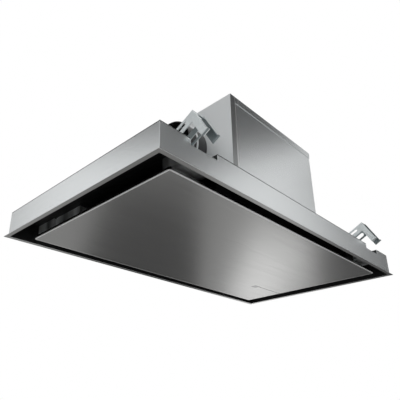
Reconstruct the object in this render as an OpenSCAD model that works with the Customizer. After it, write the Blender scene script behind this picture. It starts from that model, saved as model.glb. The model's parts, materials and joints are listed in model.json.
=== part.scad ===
// Ceiling range hood with perimeter suction and its blower in a box on top.
// X runs along the long side, Y across it, Z up. The underside of the trim lies at z = 0.

/* [Trim frame] */
// Length of the trim flange that covers the ceiling cut-out
frame_l = 900; // [820:1:1200]
// Width of the trim flange
frame_w = 500; // [460:1:600]
// Thickness of the flange, walls and lip, one folded sheet
frame_t = 1; // [0.8:0.1:1.5]
// Width of the flange strip as seen from below
flange_strip_w = 9.4; // [9:0.1:14]
// Distance of the walls from the edge of the flange
wall_inset = 7; // [5:0.5:8]
// Height of the walls above the underside of the flange
wall_h = 58; // [54:1:80]
// Width of the stiffening lip turned inward along the top of the walls
lip_w = 14; // [10:1:20]

/* [Deck] */
// Height of the recessed top plate and of the bottom of the clamp notches
deck_z = 45; // [43:1:50]
// Thickness of the top plate
deck_t = 1; // [0.8:0.1:1.5]

/* [Blower box] */
// Length of the box along the hood
box_l = 301; // [296:1:320]
// Width of the box across the hood
box_w = 301; // [296:1:315]
// Height of the box above the top of the walls
box_h = 160; // [150:1:190]
// Distance from the left end of the trim to the left side of the box
box_from_left = 190; // [180:1:230]
// Thickness of the sheets of the box
box_t = 1; // [0.8:0.1:1.5]
// Height of the lip turned down along the lid
lid_lip_h = 13.7; // [10:0.1:20]
// Width of the flange that the left sheet folds onto the front and back
fold_strip_w = 15; // [10:0.5:20]

/* [Duct outlet] */
// Outer diameter of the duct spigot
spigot_d = 120; // [110:1:124]
// Length of the spigot outside the box
spigot_len = 50; // [40:1:70]
// Wall of the spigot
spigot_wall = 2.5; // [2:0.1:4]
// Distance of the spigot axis from the near edge of the trim
spigot_from_near = 130.5; // [125:0.5:145]
// Gap between the spigot and the top plate below it
spigot_rise = 16; // [14:0.5:20]
// Distance of the sealing bead from the mouth of the spigot
bead_from_mouth = 21; // [15:1:28]
// How far the bead stands out of the spigot
bead_h = 2.5; // [1:0.1:4]

/* [Blower] */
// Clearance between the blower housing and the right side of the box
blower_end_gap = 36.5; // [30:0.5:60]
// Clearance between the blower housing and the far side of the box
blower_side_gap = 5; // [4:0.5:20]
// Number of impeller blades
blade_count = 36; // [24:1:44]
// Wall of the moulded blower housing
scroll_wall = 2; // [1.5:0.1:3]
// How much smaller the radius of the suction opening is than the impeller's
inlet_step = 20; // [18:1:28]
// Radius of the motor body
motor_r = 46; // [40:1:48]
// How far the motor reaches down into the blower housing
motor_sunk = 35; // [30:1:45]
// Clearance between the motor and the lid of the box
motor_top_gap = 20; // [14:1:28]
// Radius of the motor shaft
shaft_r = 4; // [3:0.1:5]

/* [Panel] */
// Suction gap between the walls and the ends of the hinged panel
end_slot_w = 46.5; // [42:0.5:60]
// Suction gap between the walls and the long sides of the panel
side_slot_w = 25.75; // [24:0.25:32]
// Height of its turned-up edge
panel_edge_h = 7; // [6:0.1:7.2]
// Thickness of the face sheet
panel_t = 1; // [0.8:0.1:1.4]
// Radius of the panel's corners
panel_corner_r = 5; // [3:0.5:8]
// Distance of a hinge bracket from the clamp pocket beside it
hinge_from_pocket = 54.5; // [20:0.5:90]
// Distance of a catch from the clamp pocket beside it
catch_from_pocket = 26.5; // [10:0.5:60]

/* [Grease filters] */
// Clearance between the ends of the filters and the edge of the tray
filter_end_gap = 4; // [2:0.5:8]
// Clearance between the sides of the filters and the edge of the tray, for clips and latches
filter_side_gap = 8; // [7:0.5:12]
// Thickness of each filter
filter_h = 8; // [7:0.5:9]
// Width of the aluminium border of a filter
filter_border_w = 14; // [10:1:20]
// Clearance between the flange of the filter tray and the clamp pockets
tray_end_gap = 1.5; // [0.5:0.5:4]
// Clearance between the flange of the tray and the catches
tray_side_gap = 2.25; // [1.5:0.25:5]
// Height of the tray floor above the underside of the trim
tray_z = 28; // [26:0.5:32]
// Travel of the filter latch
latch_travel = 6; // [5.5:0.1:6]

/* [Ceiling clamps] */
// Distance from the end of the trim to the middle of a clamp notch
clamp_from_end = 110; // [100:1:120]
// Width of the notch that a clamp passes through
notch_w = 69; // [60:1:76]
// Distance of a clamp's middle from its notch's middle
clamp_offset = 3; // [0:0.5:5]
// Width of a claw over its two cheeks
claw_w = 36; // [30:1:42]
// Thickness of the claw sheet
claw_t = 2; // [1.5:0.1:2.5]
// Height of the claw's apex when the clamp is open
claw_top = 126.5; // [122:0.5:130]
// Slope of the claw's inner arm
arm_angle = 27.6; // [24:0.1:30]
// Slope of the claw's outer leg
leg_angle = 60.5; // [59:0.1:62]
// How far the inner arm reaches past the middle of the nut
arm_past_nut = 10.9; // [9:0.1:11.5]
// Length of the outer leg
leg_l = 62; // [56:0.5:66]
// Radius of the clamp screw's shank
clamp_screw_r = 2.9; // [2.5:0.1:3.5]

/* [Controls] */
// Length of the control box across the hood
control_l = 92; // [80:1:100]
// Height of the control box below the top plate
control_h = 22; // [20:0.5:24]
// Radius of the mains cable's hole in its gland
cable_r = 4.5; // [3:0.1:5.5]

/* [Hidden] */
$fn = 48;

// Running clearance of parts that turn or slide in one another
run_gap = 0.1;
// Clearance between pieces that lie side by side
side_gap = 0.3;
// How far a cut runs past the surface it cuts
over = 1;

// Casing
wall_l = frame_l - 2 * wall_inset;
wall_w = frame_w - 2 * wall_inset;
inner_l = wall_l - 2 * frame_t;
inner_w = wall_w - 2 * frame_t;
deck_top = deck_z + deck_t;
near_y = -frame_w / 2;
left_x = -frame_l / 2;
panel_l = inner_l - 2 * end_slot_w;
panel_w = inner_w - 2 * side_slot_w;
notch_x = frame_l / 2 - clamp_from_end;
pocket_t = 1;
pocket_depth = 65;
pocket_z = 22;
pocket_side_x = notch_x - notch_w / 2 - pocket_t;

// Blower box, outer faces
box_x0 = left_x + box_from_left;
box_x1 = box_x0 + box_l;
box_y0 = near_y + wall_inset;
box_y1 = box_y0 + box_w;
box_top = wall_h + box_h;
lid_z = box_top - box_t;
sheet_y0 = box_y0 + frame_t;
sheet_y1 = box_y1 - frame_t;
base_flange_w = 12;

// Duct outlet
spigot_r = spigot_d / 2;
spigot_bore = spigot_r - spigot_wall;
spigot_y = near_y + spigot_from_near;
spigot_z = deck_top + spigot_rise + spigot_r;
bead_w = 3;
spigot_flange_w = 6;
spigot_flange_t = 2.5;
gasket_t = 2;
flap_pin_r = 1.5;
flap_t = 1.2;
flap_knuckle_r = 2.8;
flap_gap = 0.8;
flap_knuckles = 4;
seat_w = 3;
seat_t = 2;
spigot_tail = 9;
flap_x = box_x0 + spigot_tail - seat_t - side_gap - flap_knuckle_r;

// Blower housing, a spiral that opens toward the spigot
blower_z = deck_top + spigot_rise + spigot_wall - scroll_wall;
blower_top = blower_z + 2 * (spigot_r - spigot_wall + scroll_wall);
blower_mid = (blower_z + blower_top) / 2;
tongue_gap = 7;
scroll_gap = 42;
tongue_angle = 205;
scroll_sweep = 295;
scroll_step = 12;
scroll_lead = 12;
scroll_right_share = 0.75;
scroll_far_share = 0.5;
mouth_reach = 60;
mouth_step = 3;
ear_r = 6;
ear_screw_r = 2;
fan_r_along = (box_l - box_t - mouth_reach - scroll_right_share * scroll_gap - scroll_wall
               - 2 * ear_r + ear_screw_r - blower_end_gap) / 2;
fan_r_across = (box_w - box_t - frame_t - (spigot_from_near - wall_inset)
                - (scroll_gap - spigot_bore + mouth_step) - scroll_far_share * scroll_gap
                - scroll_wall - blower_side_gap) / 2;
fan_r = min(fan_r_along, fan_r_across);
scroll_r0 = fan_r + tongue_gap;
scroll_r1 = fan_r + scroll_gap;
blower_in = fan_r + mouth_reach;
blower_off = scroll_r1 - spigot_bore + mouth_step;
blower_x = box_x0 + blower_in;
blower_y = spigot_y + blower_off;
mouth_x = box_x0 + spigot_tail - blower_x;
mouth_plate_t = 2;
mouth_y0 = spigot_y - spigot_bore - blower_y;
mouth_y1 = spigot_y + spigot_bore - blower_y;
ear_angles = [155, 50, 0, -50, -78];
ear_h = 5;
foot_r = 9;
foot_angles = [0, 90, 180, 270];
foot_gap = 1;
inlet_r = fan_r - inlet_step;
inlet_ring_t = 2;
inlet_flange_w = 6;
inlet_lap = 5;
foot_place_r = inlet_r + inlet_ring_t + inlet_flange_w + foot_gap + foot_r;

// Impeller, motor and shaft
fan_rise = 12;
fan_z = blower_z + fan_rise;
motor_gap = 4;
motor_z = blower_top - motor_sunk;
motor_h = lid_z - motor_z - motor_top_gap;
fan_top = motor_z - motor_gap;
fan_h = fan_top - fan_z;
blade_depth = 16;
blade_in_r = fan_r - blade_depth;
blade_t = 1.2;
blade_sweep = 24;
ring_t = 2.5;
ring_w = 7;
ring_in_r = fan_r - ring_w;
back_t = 2;
hub_r = 14;
hub_h = 14;
bracket_t = 2.5;
bracket_w = 20;
bracket_r = motor_r + bracket_w;
grommet_h = 4;
grommet_r = 7;
grommet_head_t = 1.5;
grommet_out = 12;
grommet_place_r = motor_r + grommet_out;
grommet_angles = [45, 135, 225, 315];
shaft_inset = 2;
shaft_from_top = 14;
shaft_z0 = fan_top - hub_h + shaft_inset;
shaft_z1 = motor_z + motor_h - shaft_from_top;
capacitor_r = 17.5;
capacitor_h = 70;
capacitor_stud_r = 4;
capacitor_stud_h = 8;
capacitor_nut_t = 5;
capacitor_nut_r = 6.5;
capacitor_from_wall = 13;
capacitor_x = box_x1 - box_t - capacitor_from_wall - capacitor_r;
capacitor_y = sheet_y1 - box_t - base_flange_w - capacitor_r - side_gap;

// Panel and what it carries
liner_t = 1;
liner_z = panel_edge_h - liner_t;
hinge_in = 6.25;
hinge_y = panel_w / 2 - hinge_in;
hinge_rise = 0.5;
hinge_pin_r = 2.5;
knuckle_r = 4.5;
knuckle_w = 20;
hinge_z = panel_edge_h + hinge_rise + knuckle_r;
hinge_pitch = 2 * (pocket_side_x - hinge_from_pocket - knuckle_w);
leaf_t = 1.2;
leaf_l = 36;
ear_t = 2;
pin_over = 1;
rib_w = 30;
rib_places_share = [-0.25, 0, 0.25];
catch_in = 9;
catch_y = -panel_w / 2 + catch_in;
catch_l = 40;
catch_w = 14;
catch_pitch = 2 * (pocket_side_x - catch_from_pocket) - catch_l;
catch_plate_t = 0.9;
window_l = 22;
window_w = 17;
window_from_right = 112.5;
window_from_near = 307;
window_lap = 2;
window_flange_t = 1;
strip_w = 1.6;
strip_from_near = 310;

// Filters and tray
tray_t = 1;
tray_flange_w = 10;
tray_l = 2 * (pocket_side_x - tray_end_gap - tray_flange_w);
tray_w = panel_w - 2 * (catch_in + catch_w / 2 + tray_side_gap + tray_flange_w);
filter_z = tray_z - filter_h;
filter_gap = 6;
filter_l = (tray_l - filter_gap) / 2 - filter_end_gap;
filter_w = tray_w - 2 * filter_side_gap;
filter_x = (filter_l + filter_gap) / 2;
mesh_inset = 3;
border_t = 1;
hook_w = 30;
hook_t = 1.2;
hook_lap = 5;
latch_l = 44;
latch_w = 12;
latch_t = 2;
latch_tongue_w = 14;
latch_tongue_l = 8;
latch_grip_h = 3;

// Clamps, in a frame whose origin is the notch's middle on the wall's outer face
clamp_places = [[0, -1], [0, 1], [180, -1], [180, 1]];
wall_y = near_y + wall_inset;
apex_from_wall = 7.5;
near_arm_w = 20.8;
far_arm_w = 29.5;
leg_w = 13.7;
far_leg_w = 17;
far_rise = 7;
near_slot_w = 7;
near_slot_from_top = 8.5;
far_slot_w = 11;
far_slot_from_top = 19;
slot_start = 26;
slot_end = 44;
near_web_w = 8;
far_web_w = 6;
web_window_start = 8;
foot_out = 2;
guide_t = 1.5;
guide_l = 26;
guide_lap = 0.5;
nut_w = 9;
nut_h = 9;
nut_from_back = 17;
nut_from_wall = frame_t + pocket_depth - pocket_t - nut_from_back;
arm_l = (nut_from_wall + arm_past_nut - apex_from_wall) / cos(arm_angle);
nut_below_apex = 39;
nut_z = claw_top - nut_below_apex;
clamp_head_r = 5;
clamp_head_h = 4;
clamp_collar_r = 4.5;
clamp_collar_h = 2;
clamp_tip_over = 2;

// Controls
control_t = 1;
control_in = 2.5;
control_out = 0.5;
control_from_pocket = 5;
control_w = notch_w - control_in - control_out;
control_x0 = -notch_x - notch_w / 2 + control_in;
control_y0 = wall_w / 2 - frame_t - pocket_depth - control_from_pocket - control_l;
control_z = deck_z - control_h;
cover_t = 1;
board_t = 1.6;
board_l = 54;
board_inset = 4;
board_rise = 6;
standoff_r = 1.5;
relay_l = 18;
relay_w = 14;
relay_h = 11;
transformer_l = 30;
terminal_l = 40;
terminal_w = 12;
terminal_h = 8;
terminal_from_far = 20;
gland_r = 8;
gland_h = 12;
gland_nut_h = 4;
gland_thread_r = 6.5;
gland_tail = 6;
gland_from_far = 10;
gland_x = control_x0 + control_w / 2;
gland_y = control_y0 + control_l - gland_from_far;

// Screws
deck_screw_r = 2;
deck_head_r = 4;
deck_head_h = 2;
screw_over = 1;
base_inset_share = 0.28;
base_screw_in = box_t + base_flange_w / 2;
box_mid_x = (box_x0 + box_x1) / 2;
box_mid_y = (box_y0 + box_y1) / 2;
base_screw_places = concat(
  [for (s = [-1, 1], x = [box_x0 + base_screw_in, box_x1 - base_screw_in])
    [x, box_mid_y + s * base_inset_share * box_w]],
  [for (s = [-1, 1], y = [sheet_y0 + base_screw_in, sheet_y1 - base_screw_in])
    [box_mid_x + s * base_inset_share * box_l, y]]);
tray_screw_share = 0.4;
tray_screw_places = [for (sx = [-1, 1], sy = [-1, 1])
  [sx * tray_screw_share * tray_l, sy * (tray_w + tray_flange_w) / 2]];
lid_screw_z = box_top - lid_lip_h / 2;
lid_screw_l = 4;
lid_screw_r = 1.6;
lid_head_r = 3.2;
lid_head_h = 1.6;

steel = "#C3CACB";
steel_dark = "#7D8082";
zinc = "#BFC8C6";
black_steel = "#151616";
black_plastic = "#0E0E0F";
aluminium = "#B9BDC0";

// Plain shapes

module slab(p0, p1) {
  translate(p0)
    cube(p1 - p0);
}

module ring(r_out, r_in, h) {
  difference() {
    cylinder(r = r_out, h = h);
    translate([0, 0, -over])
      cylinder(r = r_in, h = h + 2 * over);
  }
}

module centred_frame(l, w, in_l, in_w, h) {
  difference() {
    translate([-l / 2, -w / 2, 0])
      cube([l, w, h]);
    translate([-in_l / 2, -in_w / 2, -over])
      cube([in_l, in_w, h + 2 * over]);
  }
}

module round_rect(l, w, r) {
  square([l - 2 * r, w], center = true);
  square([l, w - 2 * r], center = true);
  for (sx = [-1, 1], sy = [-1, 1])
    translate([sx * (l / 2 - r), sy * (w / 2 - r)])
      circle(r = r);
}

module slot_2d(p0, p1, w) {
  along = p1 - p0;
  translate(p0)
    rotate(atan2(along.y, along.x)) {
      translate([0, -w / 2])
        square([norm(along), w]);
      circle(d = w);
      translate([norm(along), 0])
        circle(d = w);
    }
}

// Places a child in a clamp frame or on the middle of its notch.
// The near pair is shifted along X, the far pair is the near pair turned half round.

module at_clamp(turn, side) {
  rotate([0, 0, turn])
    translate([side * notch_x - clamp_offset, wall_y, 0])
      children();
}

module at_notch(turn, side) {
  rotate([0, 0, turn])
    translate([side * notch_x, wall_y, 0])
      children();
}

// Casing

module trim_frame() {
  color(steel)
    difference() {
      union() {
        centred_frame(frame_l, frame_w, frame_l - 2 * flange_strip_w,
                      frame_w - 2 * flange_strip_w, frame_t);
        centred_frame(wall_l, wall_w, inner_l, inner_w, wall_h);
        translate([0, 0, wall_h - frame_t])
          centred_frame(wall_l, wall_w, wall_l - 2 * lip_w, wall_w - 2 * lip_w, frame_t);
      }
      for (c = clamp_places)
        at_notch(c[0], c[1])
          slab([-notch_w / 2, -over, deck_z], [notch_w / 2, lip_w + over, wall_h + over]);
      slab([box_x0 - side_gap, sheet_y0, wall_h - frame_t - over],
           [box_x1 + side_gap, box_y0 + lip_w + over, wall_h + over]);
    }
}

// The deck is five flat sheets, butted beside and between the clamp pockets

module top_plate() {
  hole = inlet_r + inlet_ring_t;
  seam = run_gap / 2;
  outer_x = notch_x + notch_w / 2 + pocket_t;
  pocket_y = wall_w / 2 - frame_t - pocket_depth;
  color(zinc)
    difference() {
      union() {
        slab([-pocket_side_x + seam, -inner_w / 2, deck_z],
             [pocket_side_x - seam, inner_w / 2, deck_top]);
        for (side = [-1, 1])
          mirror([side < 0 ? 1 : 0, 0, 0]) {
            slab([pocket_side_x + seam, -pocket_y, deck_z], [outer_x - seam, pocket_y, deck_top]);
            slab([outer_x + seam, -inner_w / 2, deck_z], [inner_l / 2, inner_w / 2, deck_top]);
          }
      }
      translate([blower_x - hole, blower_y - hole, deck_z - over])
        cube([2 * hole, 2 * hole, deck_t + 2 * over]);
      translate([gland_x, gland_y, deck_z - over])
        cylinder(r = gland_thread_r, h = deck_t + 2 * over);
      for (p = base_screw_places)
        translate([p.x, p.y, deck_z - over])
          cylinder(r = deck_screw_r, h = deck_t + 2 * over);
      for (p = tray_screw_places)
        translate([p.x, p.y, deck_z - over])
          cylinder(r = deck_screw_r, h = deck_t + 2 * over);
      translate([capacitor_x, capacitor_y, deck_z - over])
        cylinder(r = capacitor_stud_r, h = deck_t + 2 * over);
    }
}

module clamp_pockets() {
  color(zinc)
    for (c = clamp_places)
      at_notch(c[0], c[1])
        difference() {
          union() {
            slab([-notch_w / 2 - pocket_t, frame_t, pocket_z],
                 [notch_w / 2 + pocket_t, frame_t + pocket_depth, deck_z]);
            slab([-notch_w / 2 - pocket_t, frame_t + pocket_t, deck_z - pocket_t],
                 [notch_w / 2 + pocket_t, frame_t + pocket_depth, deck_top]);
          }
          slab([-notch_w / 2, frame_t + pocket_t, pocket_z + pocket_t],
               [notch_w / 2, frame_t + pocket_depth - pocket_t, deck_top + over]);
          slab([-notch_w / 2, -over, deck_z],
               [notch_w / 2, frame_t + 2 * pocket_t, deck_top + over]);
          translate([-clamp_offset, nut_from_wall, pocket_z - over])
            cylinder(r = clamp_screw_r + run_gap, h = pocket_t + 2 * over);
        }
}

module filter_tray() {
  hole_l = filter_l - filter_border_w;
  hole_w = filter_w - filter_border_w;
  color(black_steel)
    difference() {
      union() {
        translate([0, 0, tray_z])
          centred_frame(tray_l, tray_w, tray_l - 2 * tray_t, tray_w - 2 * tray_t,
                        deck_z - tray_z);
        slab([-tray_l / 2, -tray_w / 2, tray_z], [tray_l / 2, tray_w / 2, tray_z + tray_t]);
        translate([0, 0, deck_z - tray_t])
          centred_frame(tray_l + 2 * tray_flange_w, tray_w + 2 * tray_flange_w,
                        tray_l - 2 * tray_t, tray_w - 2 * tray_t, tray_t);
        for (sx = [-1, 1])
          translate([sx * filter_x, 0, 0]) {
            for (hx = [-1, 1])
              translate([hx * filter_l / 4, 0, 0])
                tray_hook();
            tray_keeper();
          }
      }
      for (sx = [-1, 1])
        slab([sx * filter_x - hole_l / 2, -hole_w / 2, tray_z - over],
             [sx * filter_x + hole_l / 2, hole_w / 2, tray_z + tray_t + over]);
      for (p = tray_screw_places)
        translate([p.x, p.y, deck_z - tray_t - over])
          cylinder(r = deck_screw_r, h = tray_t + 2 * over);
    }
}

// Clip that holds the far edge of a filter up against the tray
module tray_hook() {
  y0 = filter_w / 2 + side_gap;
  slab([-hook_w / 2, y0, filter_z - run_gap - hook_t], [hook_w / 2, y0 + hook_t, tray_z]);
  slab([-hook_w / 2, y0 - side_gap - hook_lap, filter_z - run_gap - hook_t],
       [hook_w / 2, y0 + hook_t, filter_z - run_gap]);
}

// Tab with a slot that the latch tongue enters
module tray_keeper() {
  y1 = -filter_w / 2 - side_gap - hook_t;
  slot_w = latch_tongue_w + 2 * side_gap;
  z0 = filter_z - 2 * latch_t;
  difference() {
    slab([-hook_w / 2, y1 - hook_t, z0 - hook_t], [hook_w / 2, y1, tray_z]);
    slab([-slot_w / 2, y1 - hook_t - over, filter_z - latch_t - 2 * side_gap],
         [slot_w / 2, y1 + over, filter_z + side_gap]);
  }
}

module deck_screws() {
  color(steel) {
    for (p = base_screw_places)
      translate([p.x, p.y, 0]) {
        translate([0, 0, deck_z - screw_over])
          cylinder(r = deck_screw_r, h = deck_t + box_t + screw_over);
        translate([0, 0, deck_top + box_t])
          cylinder(r = deck_head_r, h = deck_head_h);
      }
    for (p = tray_screw_places)
      translate([p.x, p.y, 0]) {
        translate([0, 0, deck_z - tray_t])
          cylinder(r = deck_screw_r, h = deck_t + tray_t + screw_over);
        translate([0, 0, deck_z - tray_t - deck_head_h])
          cylinder(r = deck_head_r, h = deck_head_h);
      }
  }
}

// Blower box

module lid_screw_holes() {
  for (s = [-1, 1]) {
    translate([box_x1 - box_t - over, box_mid_y + s * base_inset_share * box_w, lid_screw_z])
      rotate([0, 90, 0])
        cylinder(r = lid_screw_r, h = 2 * box_t + 2 * over);
    translate([box_mid_x + s * base_inset_share * box_l, box_y1 + over, lid_screw_z])
      rotate([90, 0, 0])
        cylinder(r = lid_screw_r, h = box_t + frame_t + 2 * over);
  }
}

module lid_screws() {
  color(steel)
    for (s = [-1, 1]) {
      translate([box_x1 + box_t - lid_screw_l, box_mid_y + s * base_inset_share * box_w,
                 lid_screw_z])
        rotate([0, 90, 0]) {
          cylinder(r = lid_screw_r, h = lid_screw_l);
          translate([0, 0, lid_screw_l])
            cylinder(r = lid_head_r, h = lid_head_h);
        }
      translate([box_mid_x + s * base_inset_share * box_l, box_y1 - lid_screw_l, lid_screw_z])
        rotate([-90, 0, 0]) {
          cylinder(r = lid_screw_r, h = lid_screw_l);
          translate([0, 0, lid_screw_l])
            cylinder(r = lid_head_r, h = lid_head_h);
        }
    }
}

module base_screw_holes() {
  for (p = base_screw_places)
    translate([p.x, p.y, deck_top - over])
      cylinder(r = deck_screw_r, h = box_t + 2 * over);
}

module box_front() {
  foot_in = box_t + base_flange_w + side_gap;
  color(steel)
    difference() {
      union() {
        slab([box_x0 + box_t, sheet_y0, deck_top], [box_x1 - box_t, sheet_y0 + box_t, lid_z]);
        slab([box_x0 + foot_in, sheet_y0, deck_top],
             [box_x1 - foot_in, sheet_y0 + box_t + base_flange_w, deck_top + box_t]);
      }
      base_screw_holes();
    }
}

module box_back() {
  foot_in = box_t + base_flange_w + side_gap;
  color(steel)
    difference() {
      union() {
        slab([box_x0 + box_t, sheet_y1 - box_t, deck_top], [box_x1 - box_t, sheet_y1, lid_z]);
        slab([box_x0 + foot_in, sheet_y1 - box_t - base_flange_w, deck_top],
             [box_x1 - foot_in, sheet_y1, deck_top + box_t]);
      }
      base_screw_holes();
      lid_screw_holes();
    }
}

// Outline of the strip folded onto the front and back, mitred under the lid's lip
module fold_strip(z0) {
  mitre_x = (box_t - side_gap) * fold_strip_w / lid_lip_h;
  polygon([[0, z0], [fold_strip_w, z0], [fold_strip_w, box_top - lid_lip_h - side_gap],
           [mitre_x, lid_z], [0, lid_z]]);
}

module xz_plate(y1, t) {
  translate([0, y1, 0])
    rotate([90, 0, 0])
      linear_extrude(t)
        children();
}

module yz_plate(x0, t) {
  translate([x0, 0, 0])
    rotate([90, 0, 90])
      linear_extrude(t)
        children();
}

module box_left() {
  color(steel)
    difference() {
      union() {
        slab([box_x0, sheet_y0, deck_top], [box_x0 + box_t, sheet_y1, lid_z]);
        slab([box_x0, sheet_y0 + box_t, deck_top],
             [box_x0 + box_t + base_flange_w, sheet_y1 - box_t, deck_top + box_t]);
        translate([box_x0, 0, 0]) {
          xz_plate(sheet_y0, frame_t)
            fold_strip(wall_h);
          xz_plate(box_y1, frame_t)
            fold_strip(deck_top);
        }
      }
      base_screw_holes();
      translate([box_x0 - over, spigot_y, spigot_z])
        rotate([0, 90, 0])
          cylinder(r = spigot_r, h = box_t + 2 * over);
    }
}

module box_right() {
  color(steel)
    difference() {
      union() {
        slab([box_x1 - box_t, sheet_y0, deck_top], [box_x1, sheet_y1, lid_z]);
        slab([box_x1 - box_t - base_flange_w, sheet_y0 + box_t, deck_top],
             [box_x1, sheet_y1 - box_t, deck_top + box_t]);
      }
      base_screw_holes();
      lid_screw_holes();
    }
}

module lid_lip() {
  polygon([[0, box_top], [box_l + box_t, box_top], [box_l + box_t, box_top - lid_lip_h],
           [fold_strip_w, box_top - lid_lip_h]]);
}

module box_lid() {
  color(steel)
    difference() {
      union() {
        slab([box_x0, box_y0, lid_z], [box_x1 + box_t, box_y1, box_top]);
        translate([box_x0, 0, 0]) {
          xz_plate(sheet_y0, frame_t)
            lid_lip();
          xz_plate(box_y1, frame_t)
            lid_lip();
        }
        slab([box_x1, box_y0, box_top - lid_lip_h], [box_x1 + box_t, box_y1, box_top]);
      }
      lid_screw_holes();
    }
}

// Duct outlet, drawn along its own axis from the left face of the box

module at_spigot() {
  translate([box_x0, spigot_y, spigot_z])
    rotate([0, -90, 0])
      children();
}

module duct_spigot() {
  flange_z = -box_t - gasket_t - spigot_flange_t;
  color(black_plastic)
    difference() {
      union() {
        at_spigot() {
          translate([0, 0, -spigot_tail])
            ring(spigot_r, spigot_bore, spigot_len + spigot_tail);
          translate([0, 0, flange_z])
            ring(spigot_r + spigot_flange_w, spigot_bore, spigot_flange_t);
          translate([0, 0, spigot_len - bead_from_mouth - bead_w])
            ring(spigot_r + bead_h, spigot_bore, bead_w);
          translate([0, 0, -spigot_tail])
            ring(spigot_r, spigot_bore - seat_w, seat_t);
        }
      }
      flap_pin_shape(flap_pin_r);
    }
}

module spigot_gasket() {
  color(black_plastic)
    at_spigot()
      translate([0, 0, -box_t - gasket_t])
        ring(spigot_r + spigot_flange_w, spigot_r, gasket_t);
}

module flap_pin_shape(r) {
  half = spigot_bore + spigot_wall / 2;
  translate([flap_x, spigot_y, spigot_z - half])
    cylinder(r = r, h = 2 * half);
}

module flap_pin() {
  color(zinc)
    flap_pin_shape(flap_pin_r);
}

// One half of the non-return flap; side is -1 for the near half and 1 for the far half
module flap(side) {
  flap_r = spigot_bore - flap_gap;
  band = 2 * (flap_r - 2 * flap_knuckle_r) / flap_knuckles;
  plate_x = flap_x + flap_knuckle_r - flap_t;
  hem = flap_knuckle_r + 2 * side_gap;
  first = side < 0 ? 0 : 1;
  color(black_plastic)
    difference() {
      union() {
        intersection() {
          translate([plate_x, spigot_y, spigot_z])
            rotate([0, 90, 0])
              cylinder(r = flap_r, h = flap_t);
          slab([plate_x - over, spigot_y + (side < 0 ? -flap_r - over : hem),
                spigot_z - flap_r - over],
               [plate_x + flap_t + over, spigot_y + (side < 0 ? -hem : flap_r + over),
                spigot_z + flap_r + over]);
        }
        for (k = [first:2:flap_knuckles - 1])
          translate([flap_x, spigot_y, spigot_z - band * flap_knuckles / 2 + k * band]) {
            cylinder(r = flap_knuckle_r, h = band - side_gap);
            slab([plate_x - flap_x, side < 0 ? -hem - over : 0, 0],
                 [flap_knuckle_r, side < 0 ? 0 : hem + over, band - side_gap]);
          }
      }
      flap_pin_shape(flap_pin_r + run_gap);
    }
}

module flap_near() {
  flap(-1);
}

module flap_far() {
  flap(1);
}

// Blower housing

function scroll_at(a) = scroll_r0 + (scroll_r1 - scroll_r0) * a / scroll_sweep;
function scroll_point(a, grow) =
  (scroll_at(a) + grow) * [cos(tongue_angle - a), sin(tongue_angle - a)];

module scroll_outline(grow, lead) {
  last = scroll_sweep;
  polygon(concat(
    [for (a = [lead:scroll_step:last - scroll_step / 2]) scroll_point(a, grow)],
    [scroll_point(last, grow)],
    [[mouth_x, mouth_y0 - grow], [mouth_x, mouth_y1 + grow]]));
}

module at_blower(z) {
  translate([blower_x, blower_y, z])
    children();
}

module ear_row(z, r, h) {
  for (t = ear_angles)
    translate((scroll_at(tongue_angle - t) + scroll_wall + ear_r - ear_screw_r)
              * [cos(t), sin(t), 0] + [0, 0, z])
      cylinder(r = r, h = h);
}

module mouth_plate(z0, z1) {
  slab([mouth_x, mouth_y0 - scroll_wall, z0],
       [mouth_x + mouth_plate_t, mouth_y1 + scroll_wall, z1]);
}

module mouth_hole() {
  translate([mouth_x - over, spigot_y - blower_y, spigot_z])
    rotate([0, 90, 0])
      cylinder(r = spigot_bore, h = mouth_plate_t + 2 * over);
}

module blower_half(z0, z1, plate_z, hole_r, ear_z) {
  at_blower(0)
    difference() {
      union() {
        difference() {
          translate([0, 0, z0])
            linear_extrude(z1 - z0)
              scroll_outline(scroll_wall, scroll_lead);
          translate([0, 0, z0 - over])
            linear_extrude(z1 - z0 + 2 * over)
              scroll_outline(0, 0);
        }
        difference() {
          translate([0, 0, plate_z])
            linear_extrude(scroll_wall)
              scroll_outline(scroll_wall, scroll_lead);
          translate([0, 0, plate_z - over])
            cylinder(r = hole_r, h = scroll_wall + 2 * over);
        }
        difference() {
          ear_row(ear_z, ear_r, ear_h);
          translate([0, 0, z0 - over])
            linear_extrude(z1 - z0 + 2 * over)
              scroll_outline(0, 0);
        }
        mouth_plate(z0, z1);
      }
      mouth_hole();
      ear_row(ear_z - over, ear_screw_r, ear_h + 2 * over);
    }
}

module blower_lower() {
  color(black_plastic)
    blower_half(blower_z, blower_mid, blower_z, inlet_r, blower_mid - ear_h);
}

module blower_upper() {
  color(black_plastic)
    blower_half(blower_mid, blower_top, blower_top - scroll_wall, motor_r + over, blower_mid);
}

module blower_feet() {
  color(black_plastic)
    for (t = foot_angles)
      at_blower(deck_top)
        translate(foot_place_r * [cos(t), sin(t), 0])
          cylinder(r = foot_r, h = blower_z - deck_top);
}

module blower_screws() {
  color(steel)
    at_blower(0) {
      ear_row(blower_mid - ear_h - screw_over, ear_screw_r, 2 * ear_h + screw_over);
      ear_row(blower_mid + ear_h, 2 * ear_screw_r, ear_screw_r);
    }
}

module inlet_ring() {
  ring_r = inlet_r - side_gap;
  ring_h = blower_z + scroll_wall + inlet_lap - deck_z;
  half = inlet_r + inlet_ring_t + inlet_flange_w;
  color(black_plastic)
    at_blower(deck_z)
      difference() {
        union() {
          cylinder(r = ring_r, h = ring_h);
          slab([-half, -half, deck_t], [half, half, deck_t + inlet_ring_t]);
        }
        translate([0, 0, -over])
          cylinder(r = ring_r - inlet_ring_t, h = ring_h + 2 * over);
      }
}

// Impeller and motor

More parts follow.
